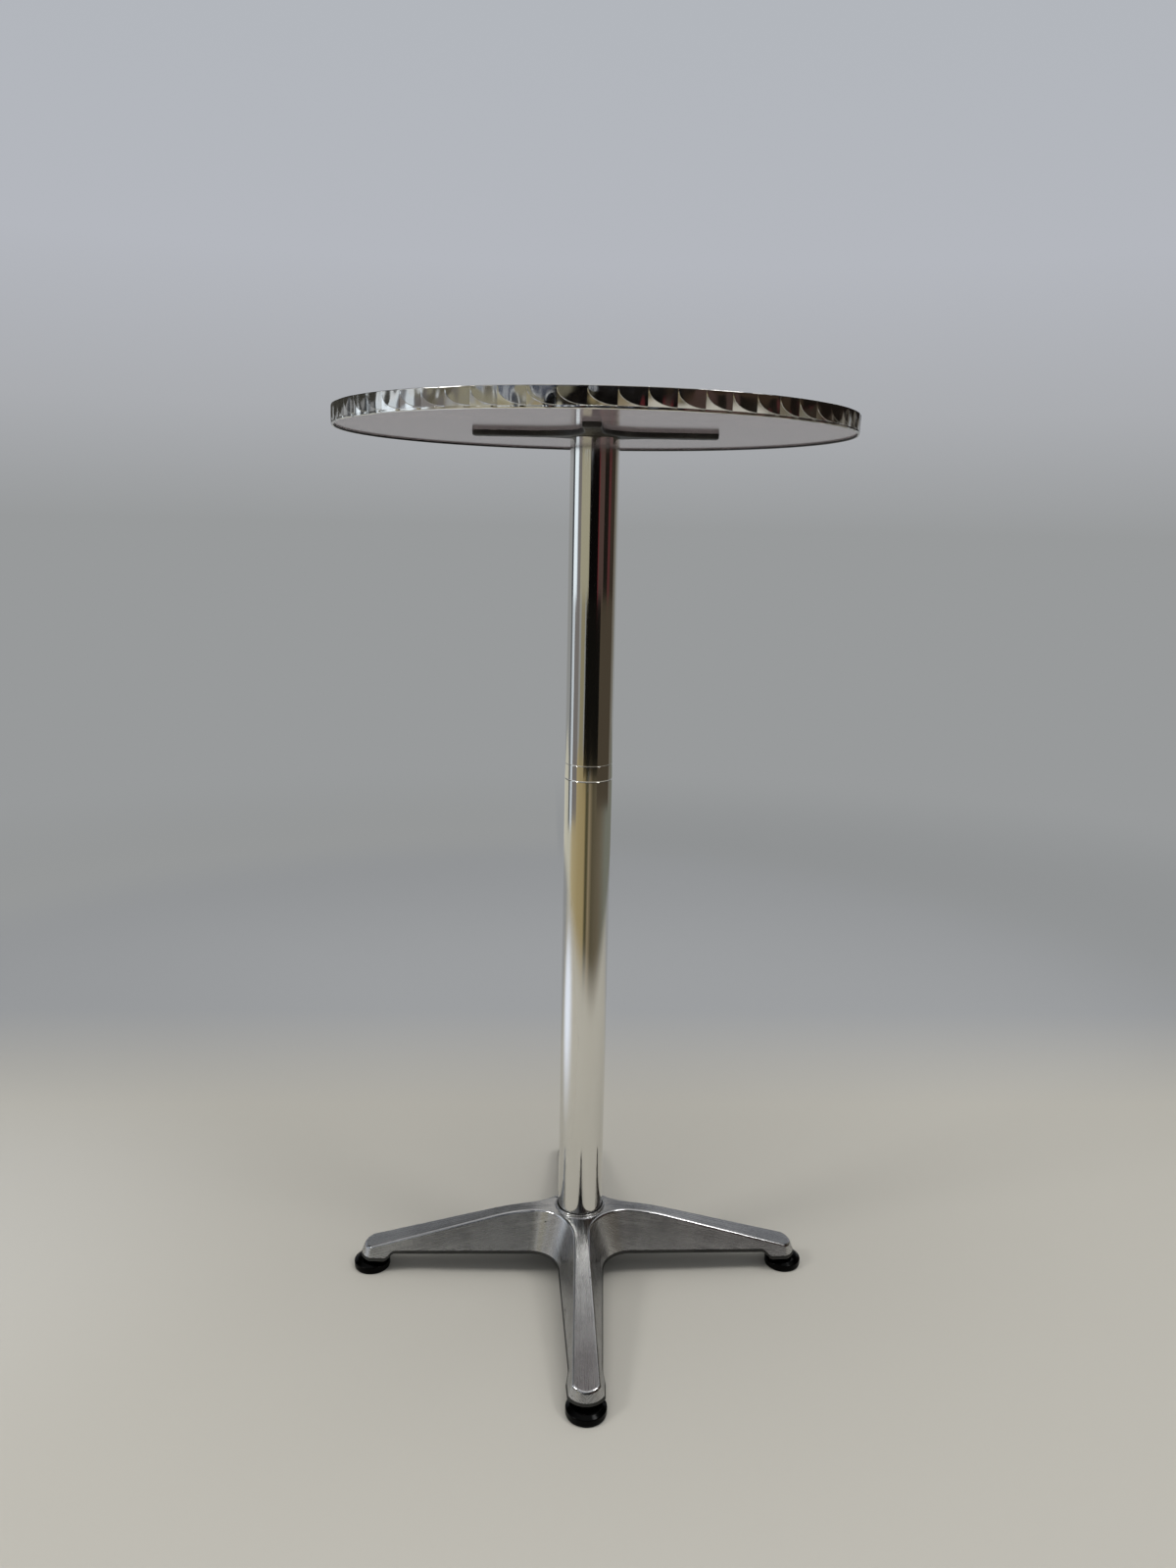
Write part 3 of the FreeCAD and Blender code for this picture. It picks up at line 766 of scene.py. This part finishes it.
def tube(name, node):
    """Closed tube: outer wall, rounded ends and bore."""
    low, high = placed(node)
    radius = placed(node, axis=0)[1]
    bore = radius - TUBE_WALL
    halfway = (bore, (low + high) / 2, 0)
    profile = rounded([halfway, (bore, low, 0.2), (radius, low, 0.7), (radius, high, 0.5),
                       (bore, high, 0.2), halfway], steps=5)
    piece = build_piece(name, [turn_profile(profile, TUBE_COLUMNS)])
    dress(piece, "table", "aluminium_tube", node, tube_metal)


tube("upper_column_tube", "upper_tube")
tube("lower_column_tube", "lower_tube")

# %% The joining collar
def collar():
    """Turned band between the tubes, bevelled at its lower edge, with a spigot each way."""
    low, high = placed("joining_collar")
    bottom = placed("lower_tube")[1]
    top = placed("upper_tube")[0]
    radius = placed("joining_collar", axis=0)[1]
    spigot = radius - 1.6
    bore = spigot - 5
    halfway = (bore, (low + high) / 2, 0)
    profile = rounded([halfway, (bore, low, 0.3), (spigot, low, 0.5), (spigot, bottom, 0.05),
                       (radius - 0.6, bottom, 0.1), (radius, bottom + 1.3, 0.5),
                       (radius, top, 0.5), (spigot, top, 0.05), (spigot, high, 0.5),
                       (bore, high, 0.3), halfway], steps=4)
    piece = build_piece("column_collar", [turn_profile(profile, TUBE_COLUMNS)])
    dress(piece, "table", "aluminium_tube", "joining_collar", tube_metal)


collar()

# %% [markdown]
# ## A star with leaning walls
#
# The base and the bracket are both stars: four tapering arms whose sides meet in round inner
# corners. A casting's walls lean, so that it leaves its mould. Four blocks joined by Boolean and
# rounded by Bevel would give the same star, but such rounds break where the walls lean. Here each
# column of the grid keeps its share of the outline at every height, and the outline itself grows
# or shrinks with height. That gives exact leaning walls, with no crossing columns in the corners.

# %% Star outline
TIP, CORNER, SIDE, FILLET = range(4)


class Star:
    """Outline of four tapering arms at any growth g, how far its walls stand out, in mm.

    Along half an arm it runs through a tip arc about (c, 0), a corner arc of radius r, a straight
    side y = w - t x, and an inner arc of radius f about (k, k), where k = (f s + w) / (1 + t) and
    s = hypot(1, t). parts lists each part's columns, as shares of the part's length.
    """

    def __init__(self, half_width, taper, fillet, reach, tip_radius, corner_radius, level, slope,
                 parts):
        self.w, self.t, self.f, self.r = half_width, taper, fillet, corner_radius
        self.tip, self.c = tip_radius, reach - tip_radius
        self.s = math.hypot(1, taper)
        self.k = (fillet * self.s + half_width) / (1 + taper)
        self.level, self.slope = level, slope
        # Below this growth the tip has shrunk away, and only the sides' inner parts are left.
        self.least = max((taper * self.c + corner_radius * self.s + 0.5 - half_width) / self.s,
                         corner_radius + 0.5 - tip_radius)
        kind = np.concatenate([np.full(len(shares), part) for part, shares in parts])
        share = np.concatenate([shares for _, shares in parts])
        # Half an arm from its tip to the diagonal, then back to the next tip, four times.
        self.kind = np.tile(np.concatenate([kind, [FILLET], kind[1:][::-1]]), 4)
        self.share = np.tile(np.concatenate([share, [1.0], share[1:][::-1]]), 4)
        count = len(kind)
        self.back = np.tile(np.arange(2 * count) > count, 4)
        self.turn = np.repeat(np.arange(4), 2 * count)

    def growth(self, z, inset=0.0):
        """How far the leaning wall stands out at height z, less an inset."""
        return -self.slope * (z - self.level) - inset

    def at(self, g):
        """(x, y) of every column in mm at growth g, one number or one for each column."""
        g = g * np.ones(len(self.kind))
        lean = math.atan(self.t)
        held = np.maximum(g, self.least)
        tip, w = self.tip + held, self.w + g * self.s
        room = self.w + (held - self.r) * self.s - self.t * self.c
        start = np.arcsin(room / ((tip - self.r) * self.s)) - lean
        cx = self.c + (tip - self.r) * np.cos(start)
        cy = (tip - self.r) * np.sin(start)
        angle = self.share * start
        on_tip = np.stack([self.c + tip * np.cos(angle), tip * np.sin(angle)], -1)
        angle = start + self.share * (math.pi / 2 - lean - start)
        on_corner = np.stack([cx + self.r * np.cos(angle), cy + self.r * np.sin(angle)], -1)
        f = self.f - g
        outer = cx + self.r * self.t / self.s
        x = outer + self.share * (self.k - f * self.t / self.s - outer)
        on_side = np.stack([x, w - self.t * x], -1)
        angle = -math.pi / 2 - lean + self.share * (lean - math.pi / 4)
        on_fillet = np.stack([self.k + f * np.cos(angle), self.k + f * np.sin(angle)], -1)
        kind = self.kind[:, None]
        p = np.select([kind == TIP, kind == CORNER, kind == SIDE], [on_tip, on_corner, on_side],
                      on_fillet)
        p = np.where(self.back[:, None], p[:, ::-1], p)
        turn = self.turn * math.pi / 2
        return np.stack([p[:, 0] * np.cos(turn) - p[:, 1] * np.sin(turn),
                         p[:, 0] * np.sin(turn) + p[:, 1] * np.cos(turn)], -1)

    def wall(self, z, inset=0.0):
        """Points of the leaning wall at height z, one number or one for each column."""
        z = z * np.ones(len(self.kind))
        return np.column_stack([self.at(self.growth(z, inset)), z])

    def meet(self, surface, low, high, inset=0.0):
        """Where the wall meets z = surface(radius): halve the gap between low and high 40 times."""
        low = low * np.ones(len(self.kind))
        high = high * np.ones(len(self.kind))
        for _ in range(40):
            middle = (low + high) / 2
            radius = np.hypot(*self.at(self.growth(middle, inset)).T)
            below = middle < surface(radius)
            low, high = np.where(below, middle, low), np.where(below, high, middle)
        return (low + high) / 2


# %% Rows of a star's grid
def bend(before, here, after, steps):
    """Rows of the quadratic curve from before to after with here as its corner."""
    t = np.linspace(0, 1, steps)[:, None, None]
    return list((1 - t) ** 2 * before + 2 * t * (1 - t) * here + t ** 2 * after)


def spread(count):
    """Even shares from 0 up to, but not with, 1."""
    return np.arange(count) / count


def on_surface(flat, surface):
    """A row of points at (x, y) = flat and z = surface(radius)."""
    return np.column_stack([flat, surface(np.hypot(*flat.T))])


# %% [markdown]
# ## The base casting
#
# The base is cast aluminium, linished on the outside and left as cast below. Its top line is level
# round the hub and then runs out in a long arc to a straight slope. The walls lean 20 degrees, the
# upper edges are rounded by hand, and a lower heel at each arm's end carries the foot. Underneath
# it is hollow, 5 mm thick, with one rib along each arm. It could be sculpted from a subdivided
# cage, but its walls, crown and heel are plain formulas of the height and the radius, and rows
# that follow them are exact.

# %% The base's heights
HUB = 32.0                  # mm, as all below: radius of the ring round the tube
CROWN = 88.4                # height of the top line where it leaves the ring
CROWN_RADIUS = 340.0        # of the arc that it follows from there
TIP_HEIGHT = 32.5           # height of the top line at the arm's end
DRAFT = math.tan(math.radians(20))
FOOT_TOP = 19.0             # height of the seat on the foot
REACH = 298.4               # to where the leaning end wall would meet the floor
ARM_END = REACH - DRAFT * FOOT_TOP
HEEL = ARM_END - 42.5       # where the lower edge drops to the foot
WALL = 5.0                  # thickness of the casting over its hollow
BOSS_TOP = 91.5             # top of the ring
GROOVE = 30.5               # outer radius of the groove that the tube stands in
GROOVE_FLOOR = 86.0


def crown(radius):
    """Top line: level to the hub's edge, an arc of 340 mm, then its tangent down to the tip."""
    across, up = ARM_END - HUB, TIP_HEIGHT - (CROWN - CROWN_RADIUS)
    slope = math.atan2(across, up) - math.acos(CROWN_RADIUS / math.hypot(across, up))
    out = np.clip(radius - HUB, 0, None)
    on_arc = np.minimum(out, CROWN_RADIUS * math.sin(slope))
    arc = np.sqrt(CROWN_RADIUS ** 2 - on_arc ** 2) - CROWN_RADIUS
    return CROWN + arc - (out - on_arc) * math.tan(slope)


def roof(radius):
    """Top of the hollow."""
    return crown(radius) - WALL


def underside(radius):
    """Lower edge: a slow fall to the heel, then a smooth drop to the foot, averaged over 5 mm."""
    radius = np.asarray(radius)[..., None] + np.linspace(-2.5, 2.5, 7)
    lower = np.interp(radius, [0, HEEL, HEEL + 9.5, REACH], [35.6, 28.4, FOOT_TOP, FOOT_TOP])
    return lower.mean(-1)


print("crown at the tip", round(float(crown(ARM_END)), 2), "mm")


# %% The base casting's skin
EDGE_ROUND = 2.8            # mm from the upper edge to where its round starts
LOWER_ROUND = 1.1


def base_star(reach, tip_radius, parts):
    """The base's arms, 91 mm wide where they start, with each side closing in by 6 mm in 100."""
    return Star(half_width=45.7, taper=0.0604, fillet=28.0, reach=reach, tip_radius=tip_radius,
                corner_radius=3.0, level=0.0, slope=DRAFT, parts=parts)


def streak_coordinates(grid, crown_rows):
    """(along, across) in metres: along the nearest arm, and across it or down the walls.

    On the crown, across is the distance from the arm's middle. Below it, across goes on growing by
    the distance walked down each column.
    """
    grid = np.concatenate([grid, grid[:, :1]], axis=1)
    size = np.abs(grid[..., :2])
    along, across = size.max(-1), size.min(-1)
    step = np.linalg.norm(np.diff(grid, axis=0), axis=-1)
    walked = np.concatenate([np.zeros((1, grid.shape[1])), np.cumsum(step, axis=0)])
    walked = walked - walked[crown_rows] + across[crown_rows]
    down = np.arange(len(grid))[:, None] > crown_rows
    return np.stack([along, np.where(down, walked, across)], -1)


def base_top(inside):
    """Rows of the ring round the tube and of the crown out to (x, y) = inside.

    Each row of the ring has its points in the directions of the outline's columns. Gives back the
    rows, and which of them lie in the groove.
    """
    heading = inside / np.hypot(*inside.T)[:, None]
    ring = rounded([(0, BOSS_TOP, 0), (27.2, BOSS_TOP, 0.3), (27.2, GROOVE_FLOOR, 0),
                    (GROOVE, GROOVE_FLOOR, 0), (GROOVE, BOSS_TOP, 0.3), (HUB - 0.2, BOSS_TOP, 0.9),
                    (HUB + 0.4, CROWN, 1.2), (HUB + 3, CROWN, 0)], steps=5)
    rows = [np.column_stack([heading * r, np.full(len(heading), z)]) for r, z in ring]
    start = rows[-1][:, :2]
    # The crown's rows lie closer together towards its edge.
    for share in 1 - (1 - np.linspace(0.06, 1, 14)) ** 1.5:
        rows.append(on_surface(start + (inside - start) * share, crown))
    groove = np.flatnonzero((ring[:, 1] < BOSS_TOP - 0.6) & (ring[:, 0] < GROOVE + 0.1))
    return rows, groove


def base_hollow(rim):
    """Rows from (x, y) = rim along the lower edge, up the hollow's walls and in under its roof."""
    hollow = base_star(HEEL, 60.0, [(TIP, spread(28)), (CORNER, spread(6)), (SIDE, spread(22)),
                                    (FILLET, spread(12))])
    foot_z = hollow.meet(underside, 10, 60, WALL)
    foot_edge = hollow.at(hollow.growth(foot_z, WALL))
    rows = [on_surface(rim + (foot_edge - rim) * share, underside)
            for share in (0.25, 0.5, 0.66, 0.74, 0.82, 0.9, 1.0)]
    roof_z = hollow.meet(roof, 10, 95, WALL)
    rows += [hollow.wall(foot_z * (1 - share) + roof_z * share, WALL)
             for share in (0.08, 0.4, 0.8, 0.92, 1.0)]
    top = rows[-1][:, :2]
    return rows + [on_surface(top * (1 - share), roof) for share in (0.06, 0.3, 0.55, 0.8, 1.0)]


def base_skin():
    """One closed grid: hub ring, crown, edge round, wall, lower edge, hollow and its roof.

    Gives back the grid, its pattern, and the rows where the groove starts and ends and where the
    brushed wall ends.
    """
    # Half of a side's columns stand in its outer fifth, where the heel drops to the foot.
    outer = base_star(REACH, 32.0, [(TIP, spread(9)), (CORNER, spread(5)),
                                    (SIDE, spread(20) * 0.19), (SIDE, 0.19 + spread(22) * 0.81),
                                    (FILLET, spread(12))])
    edge_z = outer.meet(crown, 10, 95)
    inside = outer.at(outer.growth(edge_z) - EDGE_ROUND)
    rows, groove = base_top(inside)
    crown_rows = len(rows) - 1
    rows += bend(rows[-1], outer.wall(edge_z), outer.wall(edge_z - EDGE_ROUND), 8)[1:]
    wall_top = edge_z - EDGE_ROUND - 0.4
    rows.append(outer.wall(wall_top))
    low_z = outer.meet(underside, 10, 60)
    wall_end = low_z + LOWER_ROUND
    # The lowest 3.2 mm, or the lowest quarter where the wall is low, stay as cast and are painted
    # dark as shade.
    shaded_band = np.minimum(3.2, 0.25 * (wall_top - wall_end))
    for share in (0.4, 0.8, 1.0):
        rows.append(outer.wall(wall_top * (1 - share) + (wall_end + shaded_band) * share))
    skin_rows = len(rows) - 1
    rows.append(outer.wall(wall_end))
    rim = outer.at(outer.growth(low_z) - LOWER_ROUND)
    rows += bend(rows[-1], outer.wall(low_z), on_surface(rim, underside), 5)[1:]
    grid = np.stack(rows + base_hollow(rim)) * MM
    return grid, streak_coordinates(grid, crown_rows), (groove[0], groove[-1], skin_rows)


# %% The base's ribs and boss
def base_rib(quarter):
    """One web under an arm: a bar with soft lower corners, closed at both ends.

    x runs out along the arm in mm. side and lift go once round the bar's section, as mm from its
    middle and as a share of its height.
    """
    x = np.array([16.0, 16.0, 20.5, 21.5, 60, 100, 140, 180, 215, 235, 252, 252])
    bottom = np.where(x < 21, 62.0, underside(np.minimum(x, HEEL - 8)) + 8)
    top = roof(x) + 1
    side = np.array([2, 2, 1.4, 0, -1.4, -2, -2, 0])
    lift = np.array([1, 0.08, 0.02, 0, 0.02, 0.08, 1, 1])
    z = bottom[:, None] + (top - bottom)[:, None] * lift
    grid = np.stack([x[:, None] * np.ones(8), side * np.ones((len(x), 1)), z], -1)
    grid[0], grid[-1] = grid[0].mean(0), grid[-1].mean(0)
    return turned(grid, 90 * quarter) * MM


def base_boss():
    """Bossed underside of the hub that the washer bears on."""
    return turn_profile(rounded([(0, 60, 0), (17, 60, 1.0), (17, 70.4, 3.0), (38, 70.4, 1.5),
                                 (38, 84, 0), (0, 84, 0)], steps=5), SMALL_ROUND)


# %% [markdown]
# ## Cast aluminium, linished
#
# A belt grinder has been drawn along each arm, so the shine is broken into fine streaks that run
# along it. The grid's own coordinates carry (along, across) for them, because plain X and Y would
# run the streaks across two of the arms. Between the streaks the metal is satin. Small dark pits
# are pores in the casting that the grinder opened.

# %% Linished and raw cast aluminium
PORE_CLUSTER = (0.0, -0.155, 0.07)      # on top of the front arm, where the pores crowd


def pore_free(add, place):
    """1 on sound metal and 0 in a pore; cells 8 mm wide, of which few have a pore 2 mm wide."""
    cells = add("TexVoronoi", place, Scale=130.0).node.outputs
    near = add("MapRange", cells["Distance"], From_Min=0.13, From_Max=0.2)
    pick = add("SeparateColor", cells["Color"])
    apart = add("VectorMath", place, PORE_CLUSTER, operation="DISTANCE")
    chance = add("MapRange", apart, From_Min=0.02, From_Max=0.06, To_Min=0.30, To_Max=0.03)
    rare = add("Math", pick, chance, operation="GREATER_THAN")
    return add("Math", near, rare, operation="MAXIMUM")


def cast_aluminium(name, streaks, rough, tones, brushed, dust_and_shade, rubbed):
    """Satin metal with belt streaks 0.6 mm wide and 110 mm long over clouds of 45 mm.

    streaks is their depth in micrometres. rough is the lowest and highest roughness, and tones
    are the darkest and lightest colour. brushed is how much wider the shine is across the streaks
    than along them. worn is painted shade: the tone of the faces that look up, as a share of the
    walls' tone.
    rubbed is how far hands and cloths have polished the rounded edges.
    """
    material, add, shader = new_material(name, Metallic=1.0, Anisotropic=brushed,
                                         Anisotropic_Rotation=0.25,
                                         Specular_Tint=linear("#dadada"))
    pattern = add("UVMap", uv_map="pattern")
    place = add("TexCoord", out="Object")
    belt = add("Mapping", pattern, Scale=(9.0, 1700.0, 1.0))
    belt = add("TexNoise", belt, Scale=1.0, Detail=3.0, Roughness=0.6)
    cloud = add("TexNoise", place, Scale=22.0, Detail=4.0, Roughness=0.6)
    both = add("Math", belt, 0.65, operation="MULTIPLY")
    both = add("Math", cloud, 0.35, both, operation="MULTIPLY_ADD")
    polish = add("MapRange", both, From_Min=0.3, From_Max=0.7, To_Min=rough[0], To_Max=rough[1])
    # A rounded edge is where the metal looks neither up nor out.
    upward = add("SeparateXYZ", add("NewGeometry", out="Normal"), out="Z")
    above = add("MapRange", upward, From_Min=0.40, From_Max=0.55)
    below = add("MapRange", upward, From_Min=0.95, From_Max=0.86)
    edge = add("Math", above, below, operation="MULTIPLY")
    edge = add("Math", edge, rubbed, operation="MULTIPLY")
    polish = add("Mix", edge, A=polish, B=0.12)
    shade = add("MapRange", both, From_Min=0.38, From_Max=0.62)
    colour = add("Mix", shade, A=linear(tones[0]), B=linear(tones[1]), data_type="RGBA")
    # Painted shade: the faces that look up are made darker than the walls, for how the light falls
    # on them.
    facing_shade = add("MapRange", upward, From_Min=0.45, From_Max=0.85, To_Min=1.0, To_Max=dust_and_shade)
    colour = add("VectorMath", colour, Scale=facing_shade, operation="SCALE")
    sound = pore_free(add, place)
    colour = add("Mix", sound, A=linear("#3a3937"), B=colour, data_type="RGBA")
    groove = add("Bump", Height=belt, Distance=streaks * 1e-6)
    pit = add("Bump", Height=sound, Distance=0.0004, Normal=groove)
    along = add("Tangent", direction_type="UV_MAP", uv_map="pattern")
    feed(shader, Base_Color=colour, Roughness=polish, Normal=pit, Tangent=along)
    return material


linished = cast_aluminium("linished_cast_aluminium", streaks=5.0, rough=(0.21, 0.33),
                          tones=("#b0b0b1", "#cfcfcf"), brushed=0.80, dust_and_shade=0.84, rubbed=1.0)
# The raw finish is as cast, and its dark tones are also painted shade under the arms and along the
# walls' lower edge.
raw_and_shaded = cast_aluminium("unground_aluminium_with_painted_shade", streaks=12.0, rough=(0.42, 0.60),
                          tones=("#3f3f3e", "#555553"), brushed=0.0, dust_and_shade=1.0, rubbed=0.0)

# %% The base, built
def base():
    """Skin, ribs and boss in one piece.

    The lowest few mm of the walls and all below get the raw finish, which is as cast and is also
    darkened as painted shade, and the tube's groove is painted black as shade.
    """
    skin, uv, (groove_start, groove_end, skin_rows) = base_skin()
    grids = [skin] + [base_rib(quarter) for quarter in range(4)] + [base_boss()]
    uvs = [uv] + [streak_coordinates(grid, 0) for grid in grids[1:]]
    columns = skin.shape[1]
    # The groove's rows take the black painted shade, and the rows from skin_rows on take the raw
    # finish.
    finishes = [(groove_start * columns, 2), (groove_end * columns, 0), (skin_rows * columns, 1)]
    piece = build_piece("base_arms", grids, uvs, finishes)
    dress(piece, "table", "cast_aluminium", "base_casting", linished, raw_and_shaded, crevice_shade)


base()

# %% [markdown]
# ## The bracket
#
# The spider bracket is an iron casting in thick black paint. It is screwed flat under the board.
# Paint fills a casting's fine grain but keeps the larger bumps, so the gloss is broken. Those bumps
# could be real with Displace, but they are too low to change the outline, so bump does. The
# bracket's lower edges are round, and eight screws hold it.

# %% Black paint and black plastic
def dark_coat(name, colour, rough, grain, height, dusty, **settings):
    """Dielectric coat over a bumpy surface, with patches about 20 mm wide that are duller.

    grain and height are the bumps' width and height in mm, rough is the lowest and highest
    roughness, and dusty is how far the patches turn pale.
    """
    material, add, shader = new_material(name, **settings)
    place = add("TexCoord", out="Object")
    bumps = add("TexNoise", place, Scale=1000.0 / grain, Detail=3.0)
    haze = add("TexNoise", place, Scale=45.0, Detail=5.0)
    dust_and_shade = add("MapRange", haze, From_Min=0.45, From_Max=0.75, To_Max=dusty)
    tone = add("Mix", dust_and_shade, A=linear(colour), B=linear("#6c6862"), data_type="RGBA")
    polish = add("MapRange", haze, From_Min=0.35, From_Max=0.7, To_Min=rough[0], To_Max=rough[1])
    bump = add("Bump", Height=bumps, Distance=height * MM)
    feed(shader, Base_Color=tone, Roughness=polish, Normal=bump)
    return material


black_paint = dark_coat("black_painted_cast_iron", "#1f1f1e", rough=(0.42, 0.60), grain=3.6,
                        height=0.9, dusty=0.25)

# %% The bracket, built
BRACKET_TURN = -4           # degrees, a little off the base's arms
SPIGOT, SPIGOT_BORE = 26.4, 21.4    # mm, radii of the stub that fits into the tube


def bracket():
    """Contact face, leaning walls, round lower edges, flat underside and spigot."""
    low, top = placed("top_bracket")
    shoulder = placed("upper_tube")[1]
    star = Star(half_width=11.57, taper=0.008, fillet=60.0, reach=143.0, tip_radius=60.0,
                corner_radius=2.0, level=top, slope=-math.tan(math.radians(3)),
                parts=[(TIP, spread(6)), (CORNER, spread(4)), (SIDE, spread(14)),
                       (FILLET, spread(16))])
    soft = 2.1                                  # mm from the lower edge to where its round starts
    rows = [star.wall(top) * (share, share, 1) for share in (0.0, 0.5, 0.97)]
    rows += [star.wall(top), star.wall(top - 0.3), star.wall(shoulder + soft + 0.3)]
    edge = star.wall(shoulder)
    after = np.column_stack([star.at(star.growth(shoulder) - soft), edge[:, 2]])
    rows += bend(star.wall(shoulder + soft), edge, after, 7)
    rows.append(np.column_stack([star.at(star.growth(shoulder) - soft - 0.4), edge[:, 2]]))
    rows += [rows[-1] * (share, share, 1) for share in (0.9, 0.5, 0.0)]
    body = turned(np.stack(rows) * MM, BRACKET_TURN)
    halfway = (SPIGOT_BORE, (low + shoulder) / 2, 0)
    spigot = rounded([halfway, (SPIGOT_BORE, low, 0.3), (SPIGOT, low, 0.6),
                      (SPIGOT, shoulder + 1, 0), (SPIGOT_BORE, shoulder + 1, 0), halfway], steps=4)
    piece = build_piece("spider_bracket", [body, turn_profile(spigot, SMALL_ROUND)])
    dress(piece, "table", "black_paint", "top_bracket", black_paint)


bracket()

# %% Bracket screws
SCREW_COLUMNS = 40
SCREW_PLACES = (68.0, 124.0)    # mm from the middle along each arm


def bracket_screws():
    """Eight low domed heads with a cross recess, 0.35 mm proud of the bracket, and their shanks.

    A head's height falls with the square of the radius, and the cross is pressed in where the point
    lies within half a slot's width of either of the head's two middle lines.
    """
    shoulder = placed("upper_tube")[1]
    angle = np.arange(SCREW_COLUMNS) * 2 * math.pi / SCREW_COLUMNS
    r = np.array([0, 0.5, 1.0, 1.5, 2.0, 2.3, 2.7, 3.2, 3.6, 3.9, 4.1])[:, None]
    x, y = r * np.cos(angle), r * np.sin(angle)
    cross = (np.minimum(np.abs(x), np.abs(y)) < 0.45) & (r < 2.2)
    z = shoulder - 0.35 * (1 - (r / r.max()) ** 2) + np.where(cross, 0.9, 0) * (1 - r / 4)
    head = np.stack([x, y, z], -1)
    shank = np.array([(4.1, 0.1), (2.2, 2.4), (2.2, 17.4), (0.0, 17.5)]) + (0, shoulder)
    screw = np.concatenate([head, turn_profile(shank, SCREW_COLUMNS) / MM])
    grids = [turned(screw + (distance, 0, 0), 90 * quarter + BRACKET_TURN) * MM
             for quarter in range(4) for distance in SCREW_PLACES]
    piece = build_piece("bracket_wood_screws", grids)
    dress(piece, "table", "black_paint", "bracket_screws", black_paint)


bracket_screws()

# %% [markdown]
# ## The levelling feet
#
# Each foot is a glossy black plastic pad moulded round the head of a steel stud. It has an upright
# rim, a low domed shoulder and a short neck. One pad could be made and copied, but each one rides
# on its own foot and has to lie in its own place in its mesh, so a function makes each. The
# corners are rounded, because they catch the light.

# %% Foot pads
SIDES = ("front", "right", "back", "left")
black_plastic = dark_coat("black_moulded_polypropylene", "#010101", rough=(0.10, 0.20), grain=1.2,
                          height=0.003, dusty=0.0, Specular_IOR_Level=0.06)


def foot_pad(side):
    """Solid of revolution round the middle of the CAD pad, from its flat sole to its neck."""
    node = "foot_pad_" + side
    low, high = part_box(node)
    centre = (low + high) / 2
    radius = (high.x - low.x) / 2 / MM
    top = high.z / MM
    profile = rounded([(0, 0, 0), (radius - 1.4, 0, 0.4), (radius - 0.5, 0.8, 0.8),
                       (radius, 3.0, 1.2), (radius, 9.4, 1.3), (radius - 5.0, 12.6, 4.0),
                       (10.5, 14.6, 1.4), (10.5, top, 0.5), (0, top, 0)])
    grid = turn_profile(profile, SMALL_ROUND) + (centre.x, centre.y, 0)
    piece = build_piece("levelling_pad_" + side, [grid])
    dress(piece, "foot_" + side, "black_plastic", node, black_plastic)


for side in SIDES:
    foot_pad(side)

# %% [markdown]
# ## Hardware and the board
#
# Bright zinc plate on steel is a slightly blue, cloudy metal. The board's core is pressed wood
# chips, which shows as blotches of tan. These parts could get new meshes too, but they are mostly
# hidden, so they keep their CAD shapes.

# %% Zinc plate and chipboard
def zinc_plate():
    """Plate with clouds about 6 mm wide."""
    material, add, shader = new_material("bright_zinc_plated_steel", Metallic=1.0)
    place = add("TexCoord", out="Object")
    cloud = add("TexNoise", place, Scale=160.0, Detail=3.0)
    polish = add("MapRange", cloud, To_Min=0.22, To_Max=0.42)
    tone = add("Mix", cloud, A=linear("#a9adb0"), B=linear("#c6c8c6"), data_type="RGBA")
    feed(shader, Base_Color=tone, Roughness=polish)
    return material


def chipboard():
    """Chips about 3.5 mm wide, each with its own tone and height."""
    material, add, shader = new_material("pressed_chipboard", Roughness=0.85)
    place = add("TexCoord", out="Object")
    chips = add("TexVoronoi", place, Scale=280.0, out="Color")
    pick = add("SeparateColor", chips)
    tone = add("Mix", pick, A=linear("#8d6d48"), B=linear("#c7a777"), data_type="RGBA")
    bump = add("Bump", Height=pick, Distance=0.0002)
    feed(shader, Base_Color=tone, Normal=bump)
    return material


zinc = zinc_plate()
for name in ["upper_tie_rod", "lower_tie_rod", "rod_coupling_nut", "base_flat_washer",
             "base_spring_washer", "base_nut", *("foot_stud_" + side for side in SIDES)]:
    finish_node(name, zinc)
finish_node("tabletop_board", chipboard())
